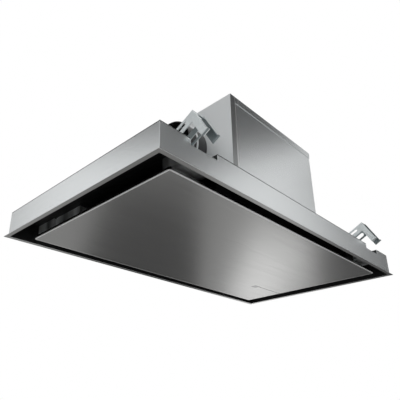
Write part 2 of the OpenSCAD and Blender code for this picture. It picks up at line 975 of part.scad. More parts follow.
module blade() {
  share = [0, 0.25, 0.5, 0.75, 1];
  function place(s, lead) =
    let (r = blade_in_r + (fan_r - over / 2 - blade_in_r) * s, t = blade_sweep * s * s)
      r * [cos(t + lead / r), sin(t + lead / r)];
  thick = blade_t * 180 / PI;
  polygon(concat([for (s = share) place(s, 0)],
                 [for (k = [len(share) - 1:-1:0]) place(share[k], thick)]));
}

module impeller() {
  color(aluminium)
    at_blower(fan_z)
      difference() {
        union() {
          linear_extrude(fan_h)
            for (k = [0:blade_count - 1])
              rotate(k * 360 / blade_count)
                blade();
          ring(fan_r, ring_in_r, ring_t);
          translate([0, 0, fan_h - back_t])
            cylinder(r = fan_r, h = back_t);
          translate([0, 0, fan_h - hub_h])
            cylinder(r = hub_r, h = hub_h);
        }
        translate([0, 0, -over])
          cylinder(r = shaft_r, h = fan_h + 2 * over);
      }
}

module motor_shaft() {
  color(zinc)
    at_blower(shaft_z0)
      cylinder(r = shaft_r, h = shaft_z1 - shaft_z0);
}

module motor_body() {
  color(steel_dark)
    at_blower(motor_z)
      difference() {
        cylinder(r = motor_r, h = motor_h);
        translate([0, 0, -over])
          cylinder(r = shaft_r + run_gap, h = shaft_z1 - motor_z + over + side_gap);
      }
}

module grommet_row(r, z, h) {
  for (t = grommet_angles)
    translate(grommet_place_r * [cos(t), sin(t), 0] + [0, 0, z])
      cylinder(r = r, h = h);
}

module motor_bracket() {
  color(zinc)
    at_blower(0)
      difference() {
        translate([0, 0, blower_top + grommet_h])
          ring(bracket_r, motor_r, bracket_t);
        grommet_row(grommet_r / 2, blower_top + grommet_h - over, bracket_t + 2 * over);
      }
}

module motor_grommets() {
  color(black_plastic)
    at_blower(0) {
      grommet_row(grommet_r, blower_top, grommet_h);
      grommet_row(grommet_r / 2, blower_top, grommet_h + bracket_t);
      grommet_row(grommet_r, blower_top + grommet_h + bracket_t, grommet_head_t);
    }
}

module capacitor() {
  color(aluminium)
    translate([capacitor_x, capacitor_y, 0]) {
      translate([0, 0, deck_top])
        cylinder(r = capacitor_r, h = capacitor_h);
      translate([0, 0, deck_z - capacitor_stud_h])
        cylinder(r = capacitor_stud_r, h = deck_t + capacitor_stud_h);
      translate([0, 0, deck_z - capacitor_nut_t])
        cylinder(r = capacitor_nut_r, h = capacitor_nut_t, $fn = 6);
    }
}

// Controls

module at_control() {
  translate([control_x0, control_y0, control_z])
    children();
}

module control_box() {
  color(zinc)
    difference() {
      at_control()
        difference() {
          cube([control_w, control_l, control_h]);
          translate([control_t, control_t, -over])
            cube([control_w - 2 * control_t, control_l - 2 * control_t,
                  control_h - control_t + over]);
        }
      translate([gland_x, gland_y, deck_z - control_t - over])
        cylinder(r = gland_thread_r, h = control_t + 2 * over);
    }
}

module control_cover() {
  color(zinc)
    at_control()
      translate([0, 0, -cover_t])
        cube([control_w, control_l, cover_t]);
}

module circuit_board() {
  top = control_h - control_t;
  places = [[board_inset, board_inset], [control_w - board_inset, board_inset],
            [board_inset, board_l - board_inset], [control_w - board_inset, board_l - board_inset]];
  color("#2E5A3A")
    at_control() {
      translate([2 * control_t, 2 * control_t, top - board_rise - board_t])
        cube([control_w - 4 * control_t, board_l, board_t]);
      for (p = places)
        translate([p.x, p.y, top - board_rise])
          cylinder(r = standoff_r, h = board_rise);
      translate([control_w / 2, board_l / 2, top - board_rise - board_t - relay_h]) {
        translate([-relay_w / 2 - relay_l, -relay_w, 0])
          cube([relay_l, relay_w, relay_h]);
        translate([-relay_w / 2 - relay_l, board_inset, 0])
          cube([relay_l, relay_w, relay_h]);
        translate([0, -relay_w, 0])
          cube([relay_l, transformer_l, relay_h]);
      }
    }
}

module terminal_block() {
  color("#E6E4DA")
    at_control()
      translate([(control_w - terminal_l) / 2, control_l - terminal_from_far - terminal_w,
                 control_h - control_t - terminal_h])
        cube([terminal_l, terminal_w, terminal_h]);
}

module cable_gland() {
  color(black_plastic)
    translate([gland_x, gland_y, 0])
      difference() {
        union() {
          translate([0, 0, deck_top])
            cylinder(r = gland_r, h = gland_h);
          translate([0, 0, deck_z - gland_tail])
            cylinder(r = gland_thread_r, h = deck_t + gland_tail);
          translate([0, 0, deck_z - control_t - gland_nut_h])
            cylinder(r = gland_r, h = gland_nut_h, $fn = 6);
        }
        translate([0, 0, deck_z - gland_tail - over])
          cylinder(r = cable_r, h = deck_t + gland_tail + gland_h + 2 * over);
      }
}

// Grease filters, drawn about their own middle

module at_filter(side) {
  translate([side * filter_x, 0, filter_z])
    children();
}

module mesh_slab(grow) {
  mesh_in = filter_border_w / 2;
  translate([-filter_l / 2 + mesh_in, -filter_w / 2 + mesh_in, mesh_inset - grow])
    cube([filter_l - 2 * mesh_in, filter_w - 2 * mesh_in, filter_h - 2 * mesh_inset + 2 * grow]);
}

module latch_guide(side) {
  x0 = latch_l / 2 + side_gap;
  y0 = -filter_w / 2 + border_t;
  clip_w = latch_w - latch_travel;
  translate([0, y0, 0])
    mirror([side < 0 ? 1 : 0, 0, 0]) {
      slab([x0, 0, -latch_t - run_gap - hook_t], [x0 + hook_t, clip_w, 0]);
      slab([x0 - 2 * hook_t, 0, -latch_t - run_gap - hook_t],
           [x0 + hook_t, clip_w, -latch_t - 2 * run_gap]);
    }
}

module filter_frame(side) {
  color(aluminium)
    at_filter(side) {
      difference() {
        centred_frame(filter_l, filter_w, filter_l - 2 * filter_border_w,
                      filter_w - 2 * filter_border_w, filter_h);
        mesh_slab(0);
      }
      latch_guide(-1);
      latch_guide(1);
    }
}

module filter_mesh(side) {
  color(steel_dark)
    at_filter(side)
      mesh_slab(0);
}

module filter_latch(side) {
  y0 = -filter_w / 2 + border_t;
  color(black_plastic)
    at_filter(side)
      translate([0, 0, -latch_t]) {
        slab([-latch_l / 2, y0, 0], [latch_l / 2, y0 + latch_w, latch_t - run_gap]);
        slab([-latch_tongue_w / 2, y0 - latch_tongue_l, 0],
             [latch_tongue_w / 2, y0, latch_t - run_gap]);
        slab([-latch_l / 3, y0 + latch_w - latch_grip_h, -latch_grip_h],
             [latch_l / 3, y0 + latch_w, 0]);
      }
}

module filter_frame_left() {
  filter_frame(-1);
}

module filter_frame_right() {
  filter_frame(1);
}

module filter_mesh_left() {
  filter_mesh(-1);
}

module filter_mesh_right() {
  filter_mesh(1);
}

module filter_latch_left() {
  filter_latch(-1);
}

module filter_latch_right() {
  filter_latch(1);
}

// Panel

module window_cut(grow, z0, h) {
  x1 = panel_l / 2 - window_from_right;
  y0 = -panel_w / 2 + window_from_near;
  slab([x1 - window_l - grow, y0 - grow, z0], [x1 + grow, y0 + window_w + grow, z0 + h]);
}

module strip_shape(z0, h) {
  x0 = panel_l / 2 - window_from_right;
  y0 = -panel_w / 2 + strip_from_near - strip_w / 2;
  slab([x0, y0, z0], [panel_l / 2 - panel_t, y0 + strip_w, z0 + h]);
}

module panel_face() {
  color(steel_dark)
    difference() {
      linear_extrude(panel_edge_h)
        round_rect(panel_l, panel_w, panel_corner_r);
      translate([0, 0, panel_t])
        linear_extrude(panel_edge_h)
          round_rect(panel_l - 2 * panel_t, panel_w - 2 * panel_t, panel_corner_r - panel_t);
      window_cut(0, -over, panel_t + 2 * over);
      strip_shape(-over, panel_t + 2 * over);
    }
}

module panel_liner() {
  rib_h = liner_z - panel_t;
  rib_l = panel_w - 2 * panel_t - 2 * rib_w;
  color(black_steel) {
    translate([0, 0, liner_z])
      linear_extrude(liner_t)
        round_rect(panel_l - 2 * panel_t, panel_w - 2 * panel_t, panel_corner_r - panel_t);
    for (s = rib_places_share)
      translate([s * panel_l, 0, panel_t])
        difference() {
          slab([-rib_w / 2, -rib_l / 2, 0], [rib_w / 2, rib_l / 2, rib_h]);
          slab([-rib_w / 2 + liner_t, -rib_l / 2 - over, liner_t],
               [rib_w / 2 - liner_t, rib_l / 2 + over, rib_h + over]);
        }
  }
}

module receiver_window() {
  color(black_plastic) {
    window_cut(0, 0, panel_t);
    window_cut(window_lap, panel_t, window_flange_t);
  }
}

module receiver_strip() {
  color(black_plastic)
    strip_shape(0, panel_t);
}

module at_hinge(side) {
  translate([side * hinge_pitch / 2, hinge_y, hinge_z])
    children();
}

module hinge_leaves() {
  base = panel_edge_h - hinge_z;
  color(zinc)
    for (side = [-1, 1])
      at_hinge(side)
        yz_plate(-knuckle_w / 2, knuckle_w)
          difference() {
            union() {
              circle(r = knuckle_r);
              translate([-leaf_l, base])
                square([leaf_l, leaf_t]);
              translate([-knuckle_r, base])
                square([knuckle_r, -base]);
            }
            circle(r = hinge_pin_r + run_gap);
          }
}

module hinge_brackets() {
  ear_x = knuckle_w / 2 + side_gap;
  color(zinc)
    for (side = [-1, 1])
      at_hinge(side) {
        for (x = [-ear_x - ear_t, ear_x])
          yz_plate(x, ear_t)
            difference() {
              union() {
                circle(r = knuckle_r);
                translate([-knuckle_r, 0])
                  square([2 * knuckle_r, deck_z - hinge_z]);
              }
              circle(r = hinge_pin_r);
            }
        slab([-knuckle_w, -2 * knuckle_r, deck_z - hinge_z - ear_t],
             [knuckle_w, 2 * knuckle_r, deck_z - hinge_z]);
      }
}

module hinge_pins() {
  half = knuckle_w / 2 + side_gap + ear_t + pin_over;
  color(steel)
    for (side = [-1, 1])
      at_hinge(side)
        translate([-half, 0, 0])
          rotate([0, 90, 0])
            cylinder(r = hinge_pin_r, h = 2 * half);
}

module at_catch(side) {
  translate([side * catch_pitch / 2, catch_y, 0])
    children();
}

module catch_magnets() {
  color(black_plastic)
    for (side = [-1, 1])
      at_catch(side)
        slab([-catch_l / 2, -catch_w / 2, panel_edge_h + catch_plate_t + side_gap],
             [catch_l / 2, catch_w / 2, deck_z]);
}

module catch_plates() {
  color(zinc)
    for (side = [-1, 1])
      at_catch(side)
        slab([-catch_l / 2, -catch_w / 2, panel_edge_h],
             [catch_l / 2, catch_w / 2, panel_edge_h + catch_plate_t]);
}

// Ceiling clamps, drawn in the clamp frame: X across the claw, Y into the hood

leg_dir = [-cos(leg_angle), -sin(leg_angle)];
apex = [apex_from_wall, claw_top];
far_apex = apex - far_rise * leg_dir;

module arm_2d(at, w, slot_w, slot_from_top) {
  translate(at)
    rotate(-arm_angle)
      difference() {
        translate([0, -w])
          square([arm_l, w]);
        slot_2d([slot_start, -slot_from_top], [slot_end, -slot_from_top], slot_w);
      }
}

module leg_2d(at, l, w) {
  translate(at)
    rotate(180 + leg_angle)
      square([l, w]);
}

module claw() {
  near_x = -claw_w / 2;
  far_x = claw_w / 2 - claw_t;
  color(zinc) {
    yz_plate(near_x, claw_t) {
      arm_2d(apex, near_arm_w, near_slot_w, near_slot_from_top);
      leg_2d(apex, leg_l, leg_w);
    }
    yz_plate(far_x, claw_t) {
      arm_2d(far_apex, far_arm_w, far_slot_w, far_slot_from_top);
      leg_2d(far_apex, leg_l + far_rise, far_leg_w);
    }
    yz_plate(near_x, claw_w)
      leg_2d(apex, web_window_start, claw_t);
    foot_strip(near_x, near_web_w);
    foot_strip(far_x + claw_t - far_web_w, far_web_w);
  }
}

// One strip of the web with the foot folded out of its end
module foot_strip(x, w) {
  yz_plate(x, w) {
    leg_2d(apex, leg_l, claw_t);
    translate(apex)
      rotate(180 + leg_angle)
        translate([leg_l - claw_t, -foot_out])
          square([claw_t, leg_w + foot_out]);
  }
}

module clamp_nut() {
  half = claw_w / 2 - claw_t;
  color(zinc)
    difference() {
      slab([-half, nut_from_wall - nut_w / 2, nut_z],
           [half, nut_from_wall + nut_w / 2, nut_z + nut_h]);
      translate([0, nut_from_wall, nut_z - over])
        cylinder(r = clamp_screw_r + run_gap, h = nut_h + 2 * over);
    }
}

module clamp_screw() {
  z0 = pocket_z - run_gap;
  z1 = nut_z + nut_h + clamp_tip_over;
  collar_z = pocket_z + pocket_t + guide_t + run_gap;
  color(steel)
    translate([0, nut_from_wall, 0]) {
      translate([0, 0, z0 - clamp_head_h])
        cylinder(r = clamp_head_r, h = clamp_head_h, $fn = 6);
      translate([0, 0, z0 - clamp_head_h])
        cylinder(r = clamp_screw_r, h = z1 - z0 + clamp_head_h);
      translate([0, 0, collar_z])
        cylinder(r = clamp_collar_r, h = clamp_collar_h);
    }
}

module clamp_guides() {
  leg_x = claw_w / 2 + side_gap;
  y1 = frame_t + pocket_depth - pocket_t;
  z0 = pocket_z + pocket_t;
  color(zinc)
    for (c = clamp_places)
      at_clamp(c[0], c[1])
        difference() {
          union() {
            for (x = [-leg_x - guide_t, leg_x])
              slab([x, y1 - guide_l, z0], [x + guide_t, y1, nut_z + guide_lap]);
            slab([-leg_x - guide_t, y1 - guide_t, z0], [leg_x + guide_t, y1, nut_z + guide_lap]);
            slab([-leg_x - guide_t, y1 - guide_l, z0],
                 [leg_x + guide_t, y1, z0 + guide_t]);
          }
          translate([0, nut_from_wall, z0 - over])
            cylinder(r = clamp_screw_r + run_gap, h = guide_t + 2 * over);
        }
}

module claw_near_left() { at_clamp(0, -1) claw(); }
module claw_near_right() { at_clamp(0, 1) claw(); }
module claw_far_left() { at_clamp(180, 1) claw(); }
module claw_far_right() { at_clamp(180, -1) claw(); }
module nut_near_left() { at_clamp(0, -1) clamp_nut(); }
module nut_near_right() { at_clamp(0, 1) clamp_nut(); }
module nut_far_left() { at_clamp(180, 1) clamp_nut(); }
module nut_far_right() { at_clamp(180, -1) clamp_nut(); }
module screw_near_left() { at_clamp(0, -1) clamp_screw(); }
module screw_near_right() { at_clamp(0, 1) clamp_screw(); }
module screw_far_left() { at_clamp(180, 1) clamp_screw(); }
module screw_far_right() { at_clamp(180, -1) clamp_screw(); }

trim_frame();
top_plate();
filter_tray();
deck_screws();
box_front();
box_back();
box_left();
box_right();
box_lid();
lid_screws();
duct_spigot();
spigot_gasket();
flap_near();
flap_far();
flap_pin();
blower_lower();
blower_upper();
blower_feet();
blower_screws();
inlet_ring();
impeller();
motor_body();
motor_shaft();
motor_bracket();
motor_grommets();
capacitor();
control_box();
control_cover();
circuit_board();
terminal_block();
cable_gland();
filter_frame_left();
filter_frame_right();
filter_mesh_left();
filter_mesh_right();
filter_latch_left();
filter_latch_right();
panel_face();
panel_liner();
receiver_window();
receiver_strip();
hinge_leaves();
hinge_brackets();
hinge_pins();
catch_magnets();
catch_plates();
clamp_pockets();
clamp_guides();
claw_near_left();
claw_near_right();
claw_far_left();
claw_far_right();
nut_near_left();
nut_near_right();
nut_far_left();
nut_far_right();
screw_near_left();
screw_near_right();
screw_far_left();
screw_far_right();
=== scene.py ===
"""Looks of a ceiling range hood: folded sheet casing, hinged suction panel, blower box and clamps.

Lengths are millimetres until mm() turns them to metres. Only the studio is laid out in metres.
"""

import json
import math

import bmesh
import bpy
import numpy as np
from mathutils import Matrix, Vector

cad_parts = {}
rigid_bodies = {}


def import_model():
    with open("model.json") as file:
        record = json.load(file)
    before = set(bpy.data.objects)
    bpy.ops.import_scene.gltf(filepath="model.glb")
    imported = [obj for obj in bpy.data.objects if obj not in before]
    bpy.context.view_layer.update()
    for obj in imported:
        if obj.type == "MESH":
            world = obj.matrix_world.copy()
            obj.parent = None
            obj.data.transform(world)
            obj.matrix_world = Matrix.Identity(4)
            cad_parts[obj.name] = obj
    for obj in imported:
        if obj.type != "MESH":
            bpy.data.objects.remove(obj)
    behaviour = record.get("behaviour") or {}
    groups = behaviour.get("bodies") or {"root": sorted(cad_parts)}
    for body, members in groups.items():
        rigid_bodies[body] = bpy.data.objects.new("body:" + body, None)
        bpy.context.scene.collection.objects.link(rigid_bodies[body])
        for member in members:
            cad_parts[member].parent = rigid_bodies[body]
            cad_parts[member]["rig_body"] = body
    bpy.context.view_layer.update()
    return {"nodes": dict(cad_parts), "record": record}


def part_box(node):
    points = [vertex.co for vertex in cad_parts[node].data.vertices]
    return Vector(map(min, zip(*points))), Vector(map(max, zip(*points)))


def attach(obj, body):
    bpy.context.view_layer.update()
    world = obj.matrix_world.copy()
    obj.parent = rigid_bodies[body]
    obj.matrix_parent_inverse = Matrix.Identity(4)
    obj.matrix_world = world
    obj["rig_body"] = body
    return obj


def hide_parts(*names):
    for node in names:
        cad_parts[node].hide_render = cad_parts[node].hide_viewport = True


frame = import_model()

bl_info = {
    "name": "Ceiling range hood",
    "version": (1, 0, 0),
    "blender": (4, 5, 0),
    "location": "View3D > Sidebar > Hood",
    "description": "Builds the finished look of a ceiling range hood on its packed solids",
    "category": "Object",
}


def mm(value):
    """Millimetres to metres, for a number or an array."""
    return np.asarray(value, float) / 1000.0


def node_box(node):
    """Lowest and highest corner of a solid, in millimetres."""
    low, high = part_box(node)
    return np.array(low) * 1000.0, np.array(high) * 1000.0


def linear(colour):
    """An sRGB hex colour as linear red, green, blue and alpha."""
    parts = np.array([int(colour[i : i + 2], 16) for i in (1, 3, 5)]) / 255.0
    low = parts / 12.92
    high = ((parts + 0.055) / 1.055) ** 2.4
    return (*np.where(parts <= 0.04045, low, high).tolist(), 1.0)


# The finish that the record gives each solid, and the materials by the name of a finish
slot_of = {s["node"]: s["material_slot"] for s in frame["record"]["subparts"]}
finishes = {}

ZINC = linear("#E2E8E9")
CLAMPS = ("near_left", "near_right", "far_left", "far_right")
# How far the filter's strands and openings shade off, down and up from its solid's underside
MESH_REACH = 1.5


class HoodSettings(bpy.types.PropertyGroup):
    """Sizes and colours that a user would change."""

    fold_radius: bpy.props.FloatProperty(
        name="Fold radius", description="Radius left on the edges of folded sheet",
        default=0.00035, min=0.0001, max=0.0008, subtype="DISTANCE", unit="LENGTH",
    )
    casing_colour: bpy.props.FloatVectorProperty(
        name="Casing", description="Galvanised sheet of the casing", subtype="COLOR", size=4,
        min=0.0, max=1.0, default=linear("#E3E6E7"),
    )
    panel_colour: bpy.props.FloatVectorProperty(
        name="Panel", description="Brushed stainless steel of the panel", subtype="COLOR", size=4,
        min=0.0, max=1.0, default=linear("#9C9C9B"),
    )
    plastic_colour: bpy.props.FloatVectorProperty(
        name="Plastic", description="Moulded black plastic", subtype="COLOR", size=4,
        min=0.0, max=1.0, default=linear("#131314"),
    )
    grain_spacing: bpy.props.FloatProperty(
        name="Brushing", description="Spacing of the brushing lines that the render shows",
        default=0.0012, min=0.0002, max=0.004, subtype="DISTANCE", unit="LENGTH",
    )
    thread_pitch: bpy.props.FloatProperty(
        name="Thread pitch", description="Pitch of the clamp screws",
        default=0.001, min=0.0005, max=0.002, subtype="DISTANCE", unit="LENGTH",
    )
    mesh_cell: bpy.props.FloatProperty(
        name="Mesh cell", description="Length of one diamond of the filter mesh",
        default=0.012, min=0.006, max=0.03, subtype="DISTANCE", unit="LENGTH",
    )


# Materials


def add(tree, kind, inputs=None, stops=(), **settings):
    """Adds a node of a kind, named without its prefix. Inputs are values, links, or nodes that
    are linked by their first output, by socket name or number; stops are the places and colours
    of a ramp's ends; settings are the node's own fields."""
    node = tree.nodes.new("ShaderNode" + kind)
    for name, value in settings.items():
        setattr(node, name, value)
    for name, value in (inputs or {}).items():
        if isinstance(value, bpy.types.Node):
            value = value.outputs[0]
        if isinstance(value, bpy.types.NodeSocket):
            tree.links.new(value, node.inputs[name])
        else:
            node.inputs[name].default_value = value
    for number, (position, colour) in enumerate(stops):
        node.color_ramp.elements[number].position = position
        node.color_ramp.elements[number].color = colour
    return node


def new_material(name):
    """An empty node material, its tree, and the Object coordinates in it."""
    material = bpy.data.materials.new(name)
    material.use_nodes = True
    tree = material.node_tree
    tree.nodes.clear()
    return material, tree, add(tree, "TexCoord").outputs["Object"]


def every(size):
    """Scale of a pattern with a mark every so many millimetres: its marks in a metre."""
    return 1000.0 / size


def shade(colour, factor):
    """A colour made lighter or darker by a factor."""
    return (*[min(1.0, c * factor) for c in colour[:3]], 1.0)


def within(tree, place, middle, half):
    """One where a point lies in a box, given by its middle and half sizes, and zero elsewhere."""
    axes = add(tree, "SeparateXYZ", {0: place}).outputs
    inside = 1.0
    for axis in range(3):
        sizes = {0: axes[axis], 1: middle[axis], 2: half[axis]}
        near = add(tree, "Math", sizes, operation="COMPARE")
        inside = add(tree, "Math", {0: inside, 1: near}, operation="MULTIPLY")
    return inside


def zoned(tree, place, zones, base, metal, rough):
    """A shader's colour, metal share and roughness, with those of each zone put over them. A Mix
    node takes its share at socket 0, numbers at 2 and 3 and colours at 6 and 7, and gives the
    colour at output 2."""
    for middle, half, zone_colour, zone_metal, zone_rough in zones:
        inside = within(tree, place, middle, half)
        colours = {0: inside, 6: base, 7: zone_colour}
        base = add(tree, "Mix", colours, data_type="RGBA").outputs[2]
        metal = add(tree, "Mix", {0: inside, 2: metal, 3: zone_metal})
        rough = add(tree, "Mix", {0: inside, 2: rough, 3: zone_rough})
    return {"Base Color": base, "Metallic": metal, "Roughness": rough}


def galvanised_sheet(name, colour, spangle=0.02, rough=0.27, metal=0.9, zones=()):
    """Hot-dip galvanised sheet, skin-passed: a soft grey with faint crystals 15 mm across and
    level rolling lines, about 330 mm long and drawn 5 mm apart so that they show. Each zone is
    a box in which the sheet has its own colour, metal share and roughness."""
    material, tree, place = new_material(name)
    crystals = add(tree, "TexNoise", {"Vector": place, "Scale": every(15.0), "Detail": 0.0})
    rolled = add(tree, "Mapping", {"Vector": place, "Scale": (3.0, 3.0, every(5.0))})
    lines = add(tree, "TexNoise", {"Vector": rolled, "Scale": 1.0, "Detail": 1.0})
    grain = add(tree, "Mix", {0: 0.85, 2: crystals, 3: lines})
    greys = add(
        tree, "ValToRGB", {"Fac": grain},
        stops=((0.0, shade(colour, 1.0 - 2 * spangle)), (1.0, shade(colour, 1.0 + spangle))),
    )
    sheet = add(tree, "BsdfPrincipled", zoned(tree, place, zones, greys, metal, rough))
    add(tree, "OutputMaterial", {"Surface": sheet})
    return material


def pocket_painted_reflections(name, colour):
    """Pressed and folded galvanised steel under the deck, with soft upright streaks about 40 mm
    wide and 200 mm tall painted into its colour as streaky reflections; its zinc is dull, so that
    it takes more even light than a mirror would."""
    material, tree, place = new_material(name)
    drawn = add(tree, "Mapping", {"Vector": place, "Scale": (24.0, 24.0, every(200.0))})
    streaks = add(tree, "TexNoise", {"Vector": drawn, "Scale": 1.0, "Detail": 2.0})
    # Streaks from near black to pale: painted reflections
    greys = add(
        tree, "ValToRGB", {"Fac": streaks},
        stops=((0.36, shade(colour, 0.1)), (0.66, shade(colour, 1.2))),
    )
    soft = add(tree, "MapRange", {"Value": streaks, "To Min": 0.3, "To Max": 0.4})
    sheet = add(tree, "BsdfPrincipled", {"Base Color": greys, "Metallic": 0.3, "Roughness": soft})
    add(tree, "OutputMaterial", {"Surface": sheet})
    return material


def brushed_stainless(name, colour, spacing, zones=()):
    """Stainless steel sheet, brushed lengthwise with a belt: fine lines along X, 125 mm long, that
    draw every reflection out across them, and clouds 25 mm wide where the belt pressed less. The
    lines are drawn coarser than the real 0.1 mm, so that they show; their spacing is in metres. In
    a zone the sheet is lightened to a painted highlight, as on its folded edges."""
    material, tree, place = new_material(name)
    line = 1.0 / spacing
    strokes = add(tree, "Mapping", {"Vector": place, "Scale": (every(125.0), line, line)})
    lines = add(
        tree, "TexNoise", {"Vector": strokes, "Scale": 1.0, "Detail": 4.0, "Roughness": 0.6}
    )
    passes = add(tree, "Mapping", {"Vector": place, "Scale": (1.2, every(25.0), every(25.0))})
    clouds = add(tree, "TexNoise", {"Vector": passes, "Scale": 1.0, "Detail": 2.0})
    greys = add(
        tree, "ValToRGB", {"Fac": lines},
        stops=((0.3, shade(colour, 0.91)), (0.7, shade(colour, 1.07))),
    )
    soft = add(tree, "MapRange", {"Value": clouds, "To Min": 0.21, "To Max": 0.27})
    finish = zoned(tree, place, zones, greys, 1.0, soft)
    finish["Normal"] = add(
        tree, "Bump", {"Height": lines, "Strength": 0.07, "Distance": mm(0.3)}
    )
    sheet = add(tree, "BsdfPrincipled", finish)
    add(tree, "OutputMaterial", {"Surface": sheet})
    return material


def zinc_plate(name, colour, rough=0.3, zones=()):
    """Electroplated zinc on pressed steel: bright and slightly blue, with a cloudy bloom of spots
    about 6 mm wide. In a zone the plating is darkened as painted shade, or lightened along an edge
    as a painted highlight."""
    material, tree, place = new_material(name)
    bloom = add(tree, "TexNoise", {"Vector": place, "Scale": every(6.25), "Detail": 4.0})
    greys = add(
        tree, "ValToRGB", {"Fac": bloom},
        stops=((0.0, shade(colour, 0.84)), (1.0, shade(colour, 1.06))),
    )
    soft = add(
        tree, "MapRange", {"Value": bloom, "To Min": rough - 0.06, "To Max": rough + 0.08}
    )
    plating = add(tree, "BsdfPrincipled", zoned(tree, place, zones, greys, 0.3, soft))
    add(tree, "OutputMaterial", {"Surface": plating})
    return material


def powder_coat(name, colour, rough=0.55):
    """Powder-coated steel: a baked paint with a fine orange peel, about 1.5 mm between crests."""
    material, tree, place = new_material(name)
    peel = add(tree, "TexNoise", {"Vector": place, "Scale": 650.0, "Detail": 2.0})
    greys = add(
        tree, "ValToRGB", {"Fac": peel},
        stops=((0.0, shade(colour, 0.85)), (1.0, shade(colour, 1.15))),
    )
    crests = add(tree, "Bump", {"Height": peel, "Strength": 0.25, "Distance": mm(0.3)})
    paint = add(
        tree, "BsdfPrincipled", {"Base Color": greys, "Roughness": rough, "Normal": crests}
    )
    add(tree, "OutputMaterial", {"Surface": paint})
    return material


def moulded_plastic(name, colour, rough=0.42, grit=0.8, zones=()):
    """Injection-moulded plastic with an eroded texture: matt, with grains about a millimetre wide,
    and cloudy over 40 mm where the melt flowed unevenly. In a zone the plastic has its own colour,
    metal share and roughness, as in the painted highlight on the duct collar's bead."""
    material, tree, place = new_material(name)
    grains = add(tree, "TexNoise", {"Vector": place, "Scale": every(grit), "Detail": 3.0})
    clouds = add(tree, "TexNoise", {"Vector": place, "Scale": every(40.0), "Detail": 2.0})
    greys = add(
        tree, "ValToRGB", {"Fac": clouds},
        stops=((0.0, shade(colour, 0.9)), (1.0, shade(colour, 1.1))),
    )
    soft = add(
        tree, "MapRange", {"Value": clouds, "To Min": rough - 0.05, "To Max": rough + 0.05}
    )
    finish = zoned(tree, place, zones, greys, 0.0, soft)
    finish["Normal"] = add(
        tree, "Bump", {"Height": grains, "Strength": 0.2, "Distance": mm(0.2)}
    )
    plastic = add(tree, "BsdfPrincipled", finish)
    add(tree, "OutputMaterial", {"Surface": plastic})
    return material


def smoked_acrylic(name, colour):
    """Infrared-clear acrylic, polished: near black with a sharp reflection and specks of dust
    about a millimetre apart."""
    material, tree, place = new_material(name)
    dust = add(tree, "TexNoise", {"Vector": place, "Scale": 900.0, "Detail": 2.0})
    greys = add(
        tree, "ValToRGB", {"Fac": dust}, stops=((0.0, colour), (1.0, shade(colour, 1.5)))
    )
    soft = add(tree, "MapRange", {"Value": dust, "To Min": 0.06, "To Max": 0.14})
    acrylic = add(tree, "BsdfPrincipled", {"Base Color": greys, "Roughness": soft, "IOR": 1.49})
    add(tree, "OutputMaterial", {"Surface": acrylic})
    return material


def expanded_aluminium(name, colour, low, high):
    """Expanded aluminium mesh: bright strands at the low height over openings at the high one,
    painted near black as shade where the mesh is open, both heights in millimetres, with scratches
    2.5 mm apart."""
    material, tree, place = new_material(name)
    height = add(tree, "SeparateXYZ", {0: place}).outputs["Z"]
    depth = add(tree, "MapRange", {"Value": height, "From Min": mm(low), "From Max": mm(high)})
    # Openings near black: painted shade where the mesh is open
    greys = add(
        tree, "ValToRGB", {"Fac": depth}, stops=((0.25, colour), (0.75, shade(colour, 0.05)))
    )
    scratches = add(tree, "TexNoise", {"Vector": place, "Scale": every(2.5), "Detail": 3.0})
    soft = add(tree, "MapRange", {"Value": scratches, "To Min": 0.3, "To Max": 0.5})
    strands = add(
        tree, "BsdfPrincipled", {"Base Color": greys, "Metallic": 0.9, "Roughness": soft}
    )
    add(tree, "OutputMaterial", {"Surface": strands})
    return material


def solder_resist(name):
    """Glass-epoxy board under green solder resist, glossy, with a grid of copper runs about
    3 mm apart under it."""
    material, tree, place = new_material(name)
    runs = add(
        tree, "TexBrick",
        {"Vector": place, "Scale": 90.0, "Mortar Size": 0.03, "Color1": linear("#1F4A2C"),
         "Color2": linear("#245533"), "Mortar": linear("#3C7A4A")},
    )
    resist = add(tree, "BsdfPrincipled", {"Base Color": runs, "Roughness": 0.3})
    add(tree, "OutputMaterial", {"Surface": resist})
    return material


# Zones of the materials


def zone(low, high, colour, metal=0.9, rough=0.3):
    """A box between two corners in millimetres, and the finish of the surface in it."""
    low, high = mm(low), mm(high)
    return ((low + high) / 2).tolist(), ((high - low) / 2).tolist(), colour, metal, rough


def painted_shade_inside(deck_low, past=0.0, sheet=1.0):
    """The inner sides of the casing's walls up to the deck's underside, painted near black as
    painted shade, or past it by a little, so that the zone takes in the deck's own lower face. The
    deck fills the space from wall to wall, and the zone starts above the flange's sheet."""
    low, high = node_box("top_plate")
    half = sheet / 2
    # Near black inside the walls: painted shade where little light reaches
    return zone(
        (low[0] - half, low[1] - half, 1.2 * sheet),
        (high[0] + half, high[1] + half, deck_low + past),
        linear("#0F0F10"), metal=0.0, rough=0.5,
    )


def painted_fold_highlights(node, width=2.0, out=1.0):
    """Zones along the four lower edges of a tray, lightened almost to white as a painted highlight
    where its sides are folded up. Each is as wide and as tall as given, and reaches out past the
    sheet."""
    low, high = node_box(node)
    zones = []
    for axis in (0, 1):
        for at_low in (True, False):
            first = np.array([low[0] - out, low[1] - out, -out])
            last = np.array([high[0] + out, high[1] + out, low[2] + width])
            if at_low:
                last[axis] = low[axis] + width
            else:
                first[axis] = high[axis] - width
            # Near white: a painted highlight along the fold
            zones.append(zone(first, last, linear("#FAFAFA"), metal=0.3))
    return zones


